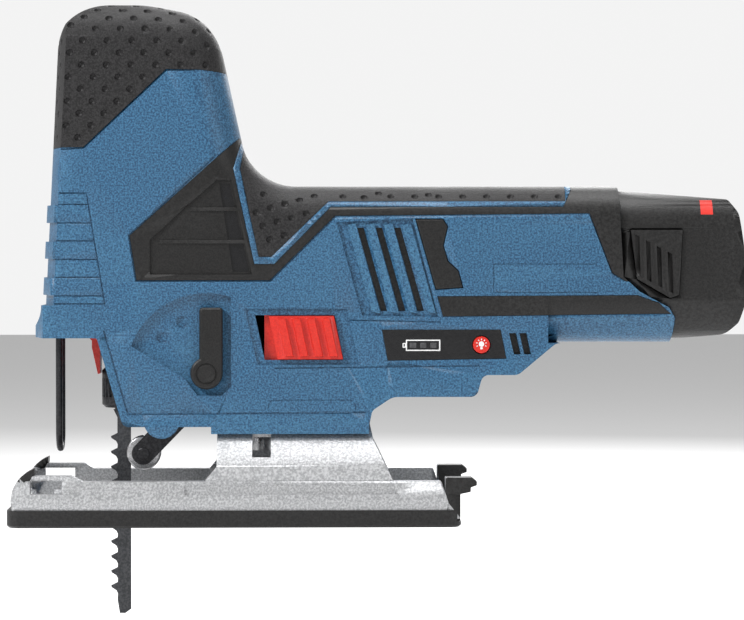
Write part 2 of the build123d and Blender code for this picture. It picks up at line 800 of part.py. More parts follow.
def guide_roller():
    """Roller with a groove that the blade's back runs in."""
    with BuildPart() as wheel:
        with BuildSketch(Plane.XY):
            with BuildLine():
                Polyline((roller_pin_d / 2 + run_fit, -roller_half), (roller_r - 0.6, -roller_half),
                         (roller_r, -roller_half + 0.8), (roller_r, -1.9), (roller_groove, -0.9),
                         (roller_groove, 0.9), (roller_r, 1.9), (roller_r, roller_half - 0.8),
                         (roller_r - 0.6, roller_half), (roller_pin_d / 2 + run_fit, roller_half),
                         close=True)
            make_face()
        revolve(axis=Axis.Y)
    return Pos(roller_x, 0, roller_z) * wheel.part


def roller_pin():
    """Pin of the guide roller, with a head on each side of the fork."""
    shaft = rod_y(roller_pin_d / 2, roller_x, roller_z, (-fork_half - 1, fork_half + 1))
    heads = rod_y(2.2, roller_x, roller_z, (-fork_half - 1, -fork_half))
    return shaft + heads + rod_y(2.2, roller_x, roller_z, (fork_half, fork_half + 1))


write(pendulum_fork(), "pendulum_fork")
write(guide_roller(), "guide_roller")
write(roller_pin(), "roller_pin")
write(rod_y(2, *fork_pivot, (-12.4, 12.4)), "fork_pivot_pin")


# ---- controls ----
print("building controls")


def orbit_lever():
    """Orbit lever: round end on its shaft, straight arm with a bevelled rim."""
    x, z = lever_axis
    radius = 5.9
    arm = 8.5
    with BuildPart() as lever:
        with BuildSketch(Plane.XZ.offset(half_width - recess_depth + 0.2)):
            with Locations((x, z)):
                Circle(radius)
            with Locations((x + radius - arm / 2, z + 12)):
                RectangleRounded(arm, 24, 1.2)
        extrude(amount=4.3)
        chamfer(lever.faces().sort_by(Axis.Y)[0].edges(), 0.7)
        with BuildSketch(Plane.XZ.offset(half_width - recess_depth + 4.5)):
            with Locations((x, z)):
                Circle(3.9)
                Circle(3.3, mode=Mode.SUBTRACT)
        extrude(amount=-0.5, mode=Mode.SUBTRACT)
    return lever.part


def orbit_shaft():
    """Shaft of the orbit lever, with the flat that steers the fork."""
    shaft = rod_y(3, *lever_axis, (-half_width + recess_depth - 0.2, -8.2))
    return shaft - block((lever_axis[0] - 5, lever_axis[0] + 5), (-9.4, -8), (lever_axis[1] + 1.5, 70))


def switch_slider():
    """Slide switch cap with four thumb ridges and the flange that keeps it in its window."""
    cap = side_prism(slider_region, -half_width - 1.2, -half_width + wall - 0.2)
    for i in range(4):
        x = 58.6 + i * 5.4
        ridge = [(x, 75.9), (x + 3.3, 75.9), (x + 6.3, 61.7), (x + 3.0, 61.7)]
        with BuildPart() as bar:
            with BuildSketch(Plane.XZ.offset(half_width + 1.2)):
                with BuildLine():
                    Polyline(*ridge, close=True)
                make_face()
            extrude(amount=1.3, taper=14)
        cap += bar.part
    flange = block((54.0, 83.4), (-half_width + wall + 0.2, -half_width + wall + 2), (59, 77.2))
    neck = side_prism([(57, 76), (79, 76), (81.5, 61.5), (60, 61.5)], -half_width + wall - 0.3,
                      -half_width + wall + 0.3)
    stem = block((66, 72), (-half_width + wall + 1.9, -half_width + wall + 5), (66, 71))
    return cap + neck + flange + stem


def switch_module():
    """Switch body that the slider drives, with its terminals."""
    body = block((54, 90), (-19, -5), (58, 76))
    body -= block((60, 78), (-20, -16.5), (65, 72))
    for x in (60, 68, 76, 84):
        body += block((x, x + 4), (-14, -13.2), (53, 58.5))
    for x in (54, 86):
        body += block((x, x + 4), (-6, half_width - wall - 0.1), (58, 62))
    return body


def release_lever():
    """Hooked blade-release lever on its pin in the head's floor."""
    x, z = release_axis
    outline = [(x - 2.2, z + 2.4), (x + 2.2, z + 2.4), (x + 2.2, z - 4.5), (x + 5.1, z - 9),
               (x + 5.1, 54.8), (x + 4.2, 54.6), (x + 2.0, 64.5), (x + 2.0, z - 9),
               (x - 2.2, z - 4.5)]
    lever = side_prism(outline, -release_half, release_half)
    return lever - rod_y(1.5 + run_fit, x, z, (-9, 9))


def finger_guard():
    """Bent wire guard in front of the blade."""
    with BuildPart() as wire:
        with BuildLine():
            FilletPolyline(
                (guard_x, -guard_half, guard_z[1]), (guard_x, -guard_half, guard_z[0]),
                (guard_x, guard_half, guard_z[0]), (guard_x, guard_half, guard_z[1]), radius=6.6,
            )
        with BuildSketch(Plane(origin=(guard_x, -guard_half, guard_z[1]), z_dir=(0, 0, -1))):
            Circle(guard_r)
        sweep()
    return wire.part


write(orbit_lever(), "orbit_lever")
write(orbit_shaft(), "orbit_shaft")
write(switch_slider(), "switch_slider")
write(switch_module(), "switch_module")
write(release_lever(), "blade_release_lever")
write(rod_y(1.5, *release_axis, (-12.3, 12.3)), "release_lever_pin")
write(finger_guard(), "finger_guard")
write(rod_z(2.5, *worklight_at, (lip_z + 0.4, lip_z + 6)), "worklight")
lamp_hole = rod_y(lamp_r + 0.3, *lamp_at, (-40, -20))
write((shell_ring & inlay(display_region, -1, 0)) - lamp_hole, "display_panel")
lamp_out = -half_width - 0.3
write(rod_y(lamp_r, *lamp_at, (lamp_out, -22)), "lamp_button")


# ---- electronics ----
def control_board():
    """Circuit board with its heat sink and the largest components."""
    board = block((104, 138), (-half_width + wall + 0.1, half_width - wall - 0.1), (72, 73.6))
    board += block((108, 120), (-16, -4), (73.6, 80))
    for i in range(6):
        board += block((122 + i * 2.6, 123.4 + i * 2.6), (4, 18), (73.6, 83))
    for y in (-12, -6):
        board += rod_z(2.6, 131, y, (73.6, 82))
    return board


def contact_block():
    """Battery contact block with three blade contacts."""
    body = block((stick_x - 8, stick_x - 1), (-half_width + wall + 0.1, half_width - wall - 0.1), (80, 108))
    for y in (-9, 0, 9):
        body += block((stick_x - 11, stick_x - 8), (y - 2, y + 2), (90, 98))
    return body


write(control_board(), "control_board")
write(contact_block(), "battery_contact_block")


# ---- base: tilt bracket, plate, shoe ----
print("building base")
bracket_top = (36.7, 91.0)
bracket_foot = (32.3, 101.0)
bracket_half = 35.0
arch_r = saddle_r - saddle_gap
arch_inner = arch_r - arch_wall
leg_half = 30.5
leg_z = 21.0
foot_wall = 3.0            # the feet's height above the web
plate_hole = 4.4
leg_wall = 2.6             # the legs' wall between the plate's rims
shoulder_z = 18.6          # where the legs' wall steps out over the rims
slot_half = 3.4
web_window = 16.0
rear_window_x = 76.0
rim_gap = 0.2              # between a leg and the rim beside it
rim_inner = plate_half - rim_wall
foot_y = 22.0              # the bracket's feet and their screws, across
foot_half = (4.5, 8.6)
foot_x = (bracket_foot[0] + foot_half[0], bracket_foot[1] - foot_half[0])


def tilt_bracket():
    """Cast arch that the housing's saddle tilts on, with the clamping slot."""
    profile = [(bracket_foot[0], web_z[1]), (bracket_foot[0], rim_z), (bracket_top[0], 22),
               (bracket_top[0], 45), (bracket_top[1], 45), (bracket_top[1] + 3, 31),
               (bracket_foot[1], rim_z), (bracket_foot[1], web_z[1])]
    body = side_prism(profile, -bracket_half, bracket_half)
    body &= rod_x(arch_r, (0, 130), 0, 0)
    inner = rod_x(arch_inner, (0, 130), 0, 0)
    body -= inner & block((0, 130), (-50, 50), (leg_z - 1, 60))
    leg_outer = rim_inner - rim_gap
    leg_inner = leg_outer - leg_wall
    body -= block((0, 130), (-leg_half, leg_half), (shoulder_z, leg_z))
    body -= block((0, 130), (-leg_inner, leg_inner), (0, shoulder_z))
    for side in (-1, 1):
        body -= block((0, 130), near_far(side, leg_outer, 50), (0, rim_z))
    slot = rod_x(50, (screw_x - slot_half, screw_x + slot_half), 0, 0)
    body -= slot & block((0, 130), (-33, 33), (19, 60))
    # feet that the plate's screws hold
    for x in foot_x:
        for y in (-foot_y, foot_y):
            body += block((x - foot_half[0], x + foot_half[0]), (y - foot_half[1], y + foot_half[1]),
                          (web_z[1], web_z[1] + foot_wall))
            body -= rod_z(plate_hole / 2, x, y, (0, 20))
    return body


def plate_screws():
    """Four pan-head screws that hold the bracket's feet on the plate."""
    screws = Part()
    seat_z = web_z[1] + foot_wall
    for x in foot_x:
        for y in (-foot_y, foot_y):
            screws += rod_z(plate_hole / 2 - 0.1, x, y, (web_z[0] + 0.6, seat_z))
            screws += rod_z(3.6, x, y, (seat_z, seat_z + 2.2))
    return screws


def rim(side):
    """One raised side rim of the plate, with the guide-rod tunnel through its front."""
    high = 18.8
    profile = [(plate_front + 1.4, web_z[0]), (plate_front + 1.6, 7), (plate_front + 4.6, rim_z),
               (plate_front + 6, high), (-16, high), (-12, rim_z), (118.5, rim_z),
               (plate_rear - 2, 9), (plate_rear - 2, web_z[0])]
    low, top = near_far(side, plate_half - rim_wall, plate_half - 0.4)
    body = side_prism(profile, low, top, 1.2)
    with BuildPart() as lean:
        with BuildSketch(Plane.YZ.offset(plate_front - 5)):
            with BuildLine():
                Polyline((side * (plate_half + 1), 9.5), (side * (plate_half - 0.4), 9.5),
                         (side * (plate_half - 2.2), high + 1), (side * (plate_half + 1), high + 1),
                         close=True)
            make_face()
        extrude(amount=200)
    body -= lean.part
    if side < 0:
        body -= side_prism([(25, 15.6), (99, 15.6), (103, 11.9), (25, 11.9)], -plate_half - 2,
                           -plate_half + 1.9)
    return body


tunnel_x = (-31.0, -19.4)
tunnel_z = (12.0, 17.0)


def base_plate():
    """Cast base plate: web, rims, front hooks, rear hooks and the blade window."""
    body = block((plate_front + 1.4, plate_rear - 2), (-plate_half + 3, plate_half - 3), web_z)
    for side in (-1, 1):
        body += rim(side)
        # curved front hook
        low, high = near_far(side, plate_half - 9, plate_half - 1.6)
        with BuildPart() as hook:
            with BuildSketch(Plane.XZ.offset(-high)):
                with BuildLine():
                    tip = plate_front + 9.5
                    ThreePointArc((plate_front + 1.5, 6), (plate_front + 2.8, 16), (tip, 21.4))
                    Line((tip, 21.4), (tip, 19.1))
                    ThreePointArc((tip, 19.1), (plate_front + 4.8, 14.8), (plate_front + 3.8, 6))
                    Line((plate_front + 3.8, 6), (plate_front + 1.5, 6))
                make_face()
            extrude(amount=high - low)
        body += hook.part
        # rear post with its stepped hook
        low, high = near_far(side, plate_half - 8.5, plate_half - 1.2)
        hook = [(plate_rear - 3, 3), (plate_rear - 3, 18), (plate_rear + 6.6, 18),
                (plate_rear + 8.4, 16.6), (plate_rear + 8.4, 15.2), (plate_rear + 6.2, 14.4),
                (plate_rear + 6.2, 12.8), (plate_rear + 2.4, 12), (plate_rear + 2.4, 3)]
        body += side_prism(hook, low, high, 0.4)
        # inner stiffening rails, before and behind the bracket
        for x in ((plate_front + 12, bracket_foot[0] - 1.3), (bracket_foot[1] + 1, plate_rear - 5)):
            body += block(x, near_far(side, 25.5, 27.5), (web_z[1], 9))
    body += block((plate_front + 1.4, plate_front + 5), (-plate_half + 6, plate_half - 6), (2, 9))
    body += block((plate_rear - 5, plate_rear - 2), (-plate_half + 6, plate_half - 6), (2, 9))
    body -= block(tunnel_x, (-50, 50), tunnel_z)
    body -= block((-34, 34), (-window_half, window_half), (0, 30))
    for x in foot_x:
        for y in (-foot_y, foot_y):
            body -= rod_z(plate_hole / 2, x, y, (0, 20))
    # lightening windows in the web; the hex key reaches the clamping screw through one
    key_x = screw_x - web_window / 2
    for x, y in ((12, (10, 21)), (12, (-21, -10)), (key_x, (-9, 9)), (rear_window_x, (-9, 9))):
        body -= block((x, x + web_window), y, (0, 8))
    return body


def glide_shoe():
    """Clip-on plastic shoe under the plate, with upturned edges."""
    length = (plate_front - 0.6, plate_rear + 2.8)
    with BuildPart() as shoe:
        with BuildSketch():
            with Locations(((length[0] + length[1]) / 2, 0)):
                RectangleRounded(length[1] - length[0], 2 * plate_half + 1.2, 5)
        extrude(amount=shoe_top)
        chamfer(shoe.faces().sort_by(Axis.Z)[0].edges(), 0.8)
        with BuildSketch(Plane.XY.offset(web_z[0])):
            with Locations(((length[0] + length[1]) / 2, 0)):
                RectangleRounded(length[1] - length[0] - 3.6, 2 * plate_half - 0.7, 1)
        extrude(amount=10, mode=Mode.SUBTRACT)
        with Locations((0, 0, 0)):
            Box(68, 2 * window_half, 20, mode=Mode.SUBTRACT)
        key_window = (screw_x - web_window / 2, rear_window_x + web_window)
        with Locations(((key_window[0] + key_window[1]) / 2, 0, 0)):
            Box(key_window[1] - key_window[0], 18, 20, mode=Mode.SUBTRACT)
    body = shoe.part
    for side in (-1, 1):  # the plate's rear posts stand in these gaps
        post = near_far(side, plate_half - 8.9, plate_half - 0.8)
        body -= block((plate_rear - 3.4, plate_rear + 5), post, (web_z[0], 10))
    return body


def clamp_screw():
    """Cap screw that clamps the housing on the arch, from below."""
    shaft = rod_z(2.9, screw_x, 0, (30, 52))
    head = rod_z(5.2, screw_x, 0, (26, 31))
    with BuildPart() as socket:
        with BuildSketch(Plane.XY.offset(26)):
            with Locations((screw_x, 0)):
                RegularPolygon(2.6, 6)
        extrude(amount=3)
    return shaft + head - socket.part


def clamp_washer():
    """Curved washer between the screw's head and the arch."""
    body = block((screw_x - 7, screw_x + 7), (-6, 6), (31, 42)) & rod_x(arch_inner - 0.15, (0, 130), 0, 0)
    return body - rod_z(2.95, screw_x, 0, (20, 50))


def clamp_nut():
    """Nut plate in the housing's floor that the clamping screw pulls on."""
    body = block((screw_x - 8, screw_x + 8), (-12, 12), (saddle_r + wall, 50))
    body -= rod_z(2.9, screw_x, 0, (20, 60))
    return body


write(tilt_bracket(), "tilt_bracket")
write(plate_screws(), "base_plate_screws")
write(base_plate(), "base_plate")
write(glide_shoe(), "glide_shoe")
write(clamp_screw(), "tilt_clamp_screw")
write(clamp_washer(), "tilt_clamp_washer")
write(clamp_nut(), "tilt_clamp_nut")


# ---- battery pack ----
print("building battery")
pack_half = half_width - pack_inset
pack_top = barrel_top - pack_inset
pack_bottom = barrel_bottom + pack_inset
cap_x = pack_end - 4.6


def pack_body():
    """Outer body of the pack's head, behind the housing's rear edge."""
    with BuildPart() as head:
        with BuildSketch(Plane.YZ.offset(rear_x)):
            with Locations((0, (pack_top + pack_bottom) / 2)):
                RectangleRounded(2 * pack_half, pack_top - pack_bottom, 15.5)
        extrude(amount=pack_end - rear_x)
        with BuildSketch(Plane.XZ):
            with BuildLine():
                FilletPolyline(
                    (rear_x - 2, pack_bottom), (rear_x - 2, pack_top), (224.8, pack_top - 3.4),
                    (228.4, 114.5), (pack_end, 97), (pack_end, 82), (228.7, 74), (224.2, 69.6),
                    (208, pack_bottom), radius=[0, 0, 2, 6, 8, 8, 4, 6, 0], close=True,
                )
            make_face()
        extrude(amount=40, both=True, mode=Mode.INTERSECT)
    rear_edge = [(x + pack_gap, z) for x, z in rear_outline]
    return head.part - side_prism([(100, 160)] + rear_edge + [(100, 50)], -40, 40)


button_region = [(188.4, 108.2), (207.4, 108.2), (206.2, 84.4), (203, 83.2), (190.8, 90.2)]


def battery_case():
    """Pack case: head and the stick that goes into the barrel, hollow for the cells."""
    body = pack_body()
    with BuildPart() as stick:
        with BuildSketch(Plane.YZ.offset(stick_x)):
            with Locations((0, barrel_mid)):
                RectangleRounded(2 * stick_half, 2 * stick_half, 10)
        extrude(amount=200 - stick_x)
        chamfer(stick.faces().sort_by(Axis.X)[0].edges(), 1.2)
    body += stick.part
    with BuildPart() as hollow:
        with BuildSketch(Plane.YZ.offset(stick_x + 2)):
            with Locations((0, barrel_mid)):
                RectangleRounded(2 * stick_half - 4, 2 * stick_half - 4, 8)
        extrude(amount=cap_x - stick_x)
    body -= hollow.part
    # contact slots in the stick's nose
    for y in (-9, 0, 9):
        body -= block((stick_x - 1, stick_x + 3), (y - 2.3, y + 2.3), (89, 99))
    # pockets of the release buttons, and the raised top label's frame
    for side in (-1, 1):
        low, high = near_far(side, pack_half - 3.6, 40)
        with BuildPart() as pocket:
            with BuildSketch(Plane.XZ.offset(-high)):
                with BuildLine():
                    Polyline(*button_region, close=True)
                make_face()
                offset(amount=0.35, kind=Kind.INTERSECTION)
            extrude(amount=high - low)
        body -= pocket.part
    body -= block((cap_x, 300), (-40, 40), (0, 200))
    return body


def release_button(side):
    """Pack release button with four vertical grip grooves."""
    inner = pack_half - 1.3
    body = side_prism(button_region, *near_far(side, inner, pack_half + 0.9))
    for i in range(4):
        x = 189.9 + i * 4.0
        z = 106.6 - i * 2.1
        bar = [(x, z), (x + 1.7, z - 0.9), (x + 2.2, z - 15.5), (x + 0.5, z - 14.6)]
        body -= side_prism(bar, *near_far(side, pack_half - 0.3, 40))
    return body


def battery_cells():
    """Three cells: two below, one above."""
    cells = Part()
    x = (stick_x + 2.3, stick_x + 2.3 + cell_length)
    low_z = barrel_mid - stick_half + 2 + cell_d / 2 + 0.2
    cells += rod_x(cell_d / 2, x, -cell_d / 2 - 0.2, low_z)
    cells += rod_x(cell_d / 2, x, cell_d / 2 + 0.2, low_z)
    cells += rod_x(cell_d / 2, x, 0, low_z + (cell_d + 0.4) * sin(radians(60)) + 0.3)
    return cells


write(battery_case(), "battery_case")
write(pack_body() & block((cap_x, 300), (-40, 40), (0, 200)), "battery_end_cap")
write(release_button(-1), "battery_button_left")
write(release_button(1), "battery_button_right")
write(battery_cells(), "battery_cells")


# ---- housing screws ----
def housing_screws():
    """Screws that join the halves, from the right side."""
    screws = Part()
    for x, z in screw_places:
        screws += rod_y(1.3, x, z, (-14, 0)) + rod_y(screw_r, x, z, (0, half_width - 9))
        screws += rod_y(3.1, x, z, (half_width - 8, half_width - 5.6))
        with BuildPart() as recess:
            with BuildSketch(Plane.XZ.offset(-(half_width - 5.6))):
                with Locations((x, z)):
                    RegularPolygon(1.7, 6)
            extrude(amount=1.6)
        screws += rod_y(screw_r, x, z, (half_width - 9, half_width - 8))
        screws -= recess.part
    return screws


write(housing_screws(), "housing_screws")
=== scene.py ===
import json
import math

import bpy
from mathutils import Matrix, Vector
from mathutils.bvhtree import BVHTree

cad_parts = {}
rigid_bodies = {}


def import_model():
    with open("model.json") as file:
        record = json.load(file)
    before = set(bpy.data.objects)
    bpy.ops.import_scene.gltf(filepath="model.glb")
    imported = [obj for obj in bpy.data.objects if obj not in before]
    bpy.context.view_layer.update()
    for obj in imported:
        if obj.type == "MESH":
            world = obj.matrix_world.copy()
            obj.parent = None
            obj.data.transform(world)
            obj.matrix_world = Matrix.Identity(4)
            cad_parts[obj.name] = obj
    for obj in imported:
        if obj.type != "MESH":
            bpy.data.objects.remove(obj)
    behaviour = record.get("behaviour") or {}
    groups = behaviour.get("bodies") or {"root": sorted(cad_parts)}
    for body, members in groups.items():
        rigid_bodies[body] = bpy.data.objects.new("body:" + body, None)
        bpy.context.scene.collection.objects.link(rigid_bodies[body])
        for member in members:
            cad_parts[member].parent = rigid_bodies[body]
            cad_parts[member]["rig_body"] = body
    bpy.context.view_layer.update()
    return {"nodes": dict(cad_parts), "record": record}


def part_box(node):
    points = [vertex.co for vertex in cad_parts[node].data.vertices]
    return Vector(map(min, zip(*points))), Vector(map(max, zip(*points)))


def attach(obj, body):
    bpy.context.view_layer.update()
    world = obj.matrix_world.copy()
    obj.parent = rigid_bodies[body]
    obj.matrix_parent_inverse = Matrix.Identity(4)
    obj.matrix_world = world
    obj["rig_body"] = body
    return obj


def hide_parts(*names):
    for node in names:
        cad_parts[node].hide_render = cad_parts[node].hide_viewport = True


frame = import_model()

nodes = frame["nodes"]
mm = 0.001
sideFace = 28.0  # half the housing's width, and just outside of it, in mm
outside = 30.0
rayReach = 0.3
print("frame loaded:", len(nodes), "CAD nodes")


# small helpers
def deselectAll():
    if bpy.context.object and bpy.context.object.mode != "OBJECT":
        bpy.ops.object.mode_set(mode="OBJECT")
    bpy.ops.object.select_all(action="DESELECT")


def pick(obj):
    deselectAll()
    obj.select_set(True)
    bpy.context.view_layer.objects.active = obj


def settle(obj):  # place goes into the mesh
    pick(obj)
    bpy.ops.object.transform_apply(location=True, rotation=True, scale=True)


def smooth(obj, degrees=32):
    pick(obj)
    bpy.ops.object.shade_smooth_by_angle(angle=math.radians(degrees))


def applyAll(obj):
    pick(obj)
    for modifier in list(obj.modifiers):
        bpy.ops.object.modifier_apply(modifier=modifier.name)


# a merged, smooth-shaded copy of a CAD node, which it stands for
def finePiece(nodeName, pieceName, smoothAngle=32, merge=0.01 * mm):
    source = nodes[nodeName]
    piece = bpy.data.objects.new(pieceName, source.data.copy())
    bpy.context.scene.collection.objects.link(piece)
    pick(piece)
    bpy.ops.object.mode_set(mode="EDIT")
    bpy.ops.mesh.select_all(action="SELECT")
    bpy.ops.mesh.remove_doubles(threshold=merge)
    bpy.ops.object.mode_set(mode="OBJECT")
    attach(piece, source["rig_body"])
    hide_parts(nodeName)
    smooth(piece, smoothAngle)
    return piece


# shader groups
def newGroup(name, inputs, outputs):
    group = bpy.data.node_groups.new(name, "ShaderNodeTree")
    for label, kind, value in inputs:
        socket = group.interface.new_socket(label, in_out="INPUT", socket_type=kind)
        socket.default_value = value
    for label, kind in outputs:
        group.interface.new_socket(label, in_out="OUTPUT", socket_type=kind)
    start = group.nodes.new("NodeGroupInput")
    end = group.nodes.new("NodeGroupOutput")
    return group, start, end


# spark-eroded mould texture: a fine grain and a slow cloud over it
def buildMouldGrain():
    group, start, end = newGroup(
        "mouldGrain",
        [("Grain Scale", "NodeSocketFloat", 1800.0), ("Cloud Scale", "NodeSocketFloat", 60.0)],
        [("Grain", "NodeSocketFloat"), ("Cloud", "NodeSocketFloat"), ("Height", "NodeSocketFloat")],
    )
    place = group.nodes.new("ShaderNodeTexCoord")
    fine = group.nodes.new("ShaderNodeTexNoise")
    fine.inputs["Detail"].default_value = 2.0
    fine.inputs["Roughness"].default_value = 0.6
    cloud = group.nodes.new("ShaderNodeTexNoise")
    cloud.inputs["Detail"].default_value = 3.0
    pits = group.nodes.new("ShaderNodeTexVoronoi")
    sharpen = group.nodes.new("ShaderNodeMapRange")
    sharpen.inputs["From Min"].default_value = 0.4
    sharpen.inputs["From Max"].default_value = 0.62
    blendHeight = group.nodes.new("ShaderNodeMath")
    blendHeight.operation = "ADD"
    half = group.nodes.new("ShaderNodeMath")
    half.operation = "MULTIPLY"
    half.inputs[1].default_value = 0.5
    link = group.links.new
    link(place.outputs["Object"], fine.inputs["Vector"])
    link(place.outputs["Object"], cloud.inputs["Vector"])
    link(place.outputs["Object"], pits.inputs["Vector"])
    link(start.outputs["Grain Scale"], fine.inputs["Scale"])
    link(start.outputs["Grain Scale"], pits.inputs["Scale"])
    link(start.outputs["Cloud Scale"], cloud.inputs["Scale"])
    link(fine.outputs["Fac"], sharpen.inputs["Value"])
    link(pits.outputs["Distance"], half.inputs[0])
    link(sharpen.outputs["Result"], blendHeight.inputs[0])
    link(half.outputs[0], blendHeight.inputs[1])
    link(sharpen.outputs["Result"], end.inputs["Grain"])
    link(cloud.outputs["Fac"], end.inputs["Cloud"])
    link(blendHeight.outputs[0], end.inputs["Height"])
    return group


# where sharp outer edges are rubbed, broken up by noise
def buildEdgeWear():
    group, start, end = newGroup(
        "edgeWear",
        [("Amount", "NodeSocketFloat", 0.5), ("Break Up", "NodeSocketFloat", 400.0)],
        [("Mask", "NodeSocketFloat")],
    )
    place = group.nodes.new("ShaderNodeTexCoord")
    shape = group.nodes.new("ShaderNodeNewGeometry")
    edge = group.nodes.new("ShaderNodeMapRange")
    edge.inputs["From Min"].default_value = 0.52
    edge.inputs["From Max"].default_value = 0.62
    noise = group.nodes.new("ShaderNodeTexNoise")
    rough = group.nodes.new("ShaderNodeMapRange")
    rough.inputs["From Min"].default_value = 0.42
    rough.inputs["From Max"].default_value = 0.6
    both = group.nodes.new("ShaderNodeMath")
    both.operation = "MULTIPLY"
    scaled = group.nodes.new("ShaderNodeMath")
    scaled.operation = "MULTIPLY"
    link = group.links.new
    link(place.outputs["Object"], noise.inputs["Vector"])
    link(start.outputs["Break Up"], noise.inputs["Scale"])
    link(shape.outputs["Pointiness"], edge.inputs["Value"])
    link(noise.outputs["Fac"], rough.inputs["Value"])
    link(edge.outputs["Result"], both.inputs[0])
    link(rough.outputs["Result"], both.inputs[1])
    link(both.outputs[0], scaled.inputs[0])
    link(start.outputs["Amount"], scaled.inputs[1])
    link(scaled.outputs[0], end.inputs["Mask"])
    return group


mouldGrain = buildMouldGrain()
edgeWear = buildEdgeWear()


def newMaterial(name):
    material = bpy.data.materials.new(name)
    material.use_nodes = True
    tree = material.node_tree
    tree.nodes.clear()
    shader = tree.nodes.new("ShaderNodeBsdfPrincipled")
    out = tree.nodes.new("ShaderNodeOutputMaterial")
    tree.links.new(shader.outputs["BSDF"], out.inputs["Surface"])
    return material, tree, shader


def useGroup(tree, group, values):
    node = tree.nodes.new("ShaderNodeGroup")
    node.node_tree = group
    for label, value in values.items():
        node.inputs[label].default_value = value
    return node


def mixColor(tree, a, b):
    mix = tree.nodes.new("ShaderNodeMix")
    mix.data_type = "RGBA"
    mix.inputs[6].default_value = (*a, 1)
    mix.inputs[7].default_value = (*b, 1)
    return mix


# textured plastic or elastomer: two tones of one colour, grain in bump and gloss
def mouldedPlastic(name, finish):
    material, tree, shader = newMaterial(name)
    link = tree.links.new
    grain = useGroup(tree, mouldGrain, {"Grain Scale": finish["grainScale"], "Cloud Scale": 55.0})
    tone = mixColor(tree, finish["dark"], finish["light"])
    worn = mixColor(tree, finish["dark"], finish["worn"])
    rub = useGroup(tree, edgeWear, {"Amount": finish["wear"], "Break Up": 900.0})
    gloss = tree.nodes.new("ShaderNodeMapRange")
    gloss.inputs["To Min"].default_value = finish["rough"] - 0.06
    gloss.inputs["To Max"].default_value = finish["rough"] + 0.08
    bump = tree.nodes.new("ShaderNodeBump")
    bump.inputs["Strength"].default_value = finish["bump"]
    bump.inputs["Distance"].default_value = 0.06 * mm
    link(grain.outputs["Grain"], tone.inputs[0])
    link(rub.outputs["Mask"], worn.inputs[0])
    link(tone.outputs[2], worn.inputs[6])
    link(worn.outputs[2], shader.inputs["Base Color"])
    link(grain.outputs["Cloud"], gloss.inputs["Value"])
    link(gloss.outputs["Result"], shader.inputs["Roughness"])
    link(grain.outputs["Height"], bump.inputs["Height"])
    link(bump.outputs["Normal"], shader.inputs["Normal"])
    shader.inputs["Specular IOR Level"].default_value = finish["specular"]
    return material


# blasted casting or worked steel: metal with a fine grain and slow gloss changes
def castMetal(name, finish):
    material, tree, shader = newMaterial(name)
    link = tree.links.new
    grain = useGroup(tree, mouldGrain, {"Grain Scale": finish["grainScale"], "Cloud Scale": 90.0})
    tone = mixColor(tree, finish["dark"], finish["light"])
    gloss = tree.nodes.new("ShaderNodeMapRange")
    gloss.inputs["To Min"].default_value = finish["rough"] - 0.07
    gloss.inputs["To Max"].default_value = finish["rough"] + 0.1
    bump = tree.nodes.new("ShaderNodeBump")
    bump.inputs["Strength"].default_value = finish["bump"]
    bump.inputs["Distance"].default_value = 0.05 * mm
    link(grain.outputs["Grain"], tone.inputs[0])
    link(tone.outputs[2], shader.inputs["Base Color"])
    link(grain.outputs["Cloud"], gloss.inputs["Value"])
    link(gloss.outputs["Result"], shader.inputs["Roughness"])
    link(grain.outputs["Height"], bump.inputs["Height"])
    link(bump.outputs["Normal"], shader.inputs["Normal"])
    shader.inputs["Metallic"].default_value = finish["metal"]
    return material


finishes = {
    "housingBlue": dict(dark=(0.007, 0.045, 0.105), light=(0.042, 0.150, 0.275),
                        worn=(0.08, 0.24, 0.38), wear=0.35, rough=0.42, bump=0.5,
                        grainScale=1500.0, specular=0.5),
    "gripRubber": dict(dark=(0.007, 0.0066, 0.007), light=(0.025, 0.024, 0.025),
                       worn=(0.05, 0.05, 0.05), wear=0.2, rough=0.52, bump=0.7,
                       grainScale=1700.0, specular=0.32),
    "blackPlastic": dict(dark=(0.004, 0.0038, 0.0038), light=(0.012, 0.0113, 0.011),
                         worn=(0.04, 0.04, 0.04), wear=0.3, rough=0.42, bump=0.35,
                         grainScale=1700.0, specular=0.38),
    "glossBlack": dict(dark=(0.006, 0.006, 0.007), light=(0.010, 0.010, 0.011),
                       worn=(0.03, 0.03, 0.03), wear=0.2, rough=0.16, bump=0.05,
                       grainScale=900.0, specular=0.5),
    "signalRed": dict(dark=(0.52, 0.012, 0.006), light=(0.62, 0.02, 0.010),
                      worn=(0.75, 0.08, 0.05), wear=0.25, rough=0.32, bump=0.12,
                      grainScale=1500.0, specular=0.5),
    "signWhite": dict(dark=(0.72, 0.72, 0.72), light=(0.85, 0.85, 0.85),
                      worn=(0.6, 0.6, 0.6), wear=0.1, rough=0.4, bump=0.05,
                      grainScale=900.0, specular=0.4),
    "signGrey": dict(dark=(0.05, 0.05, 0.052), light=(0.08, 0.08, 0.083),
                     worn=(0.1, 0.1, 0.1), wear=0.1, rough=0.3, bump=0.05,
                     grainScale=900.0, specular=0.4),
    "clearPlastic": dict(dark=(0.75, 0.8, 0.82), light=(0.85, 0.88, 0.9),
                         worn=(0.9, 0.9, 0.9), wear=0.1, rough=0.1, bump=0.02,
                         grainScale=700.0, specular=0.5),
    "boardGreen": dict(dark=(0.01, 0.09, 0.03), light=(0.02, 0.14, 0.05),
                       worn=(0.3, 0.25, 0.1), wear=0.2, rough=0.35, bump=0.1,
                       grainScale=800.0, specular=0.5),
    "cellGreen": dict(dark=(0.03, 0.2, 0.1), light=(0.05, 0.26, 0.13),
                      worn=(0.2, 0.4, 0.3), wear=0.2, rough=0.4, bump=0.05,
                      grainScale=600.0, specular=0.5),
}
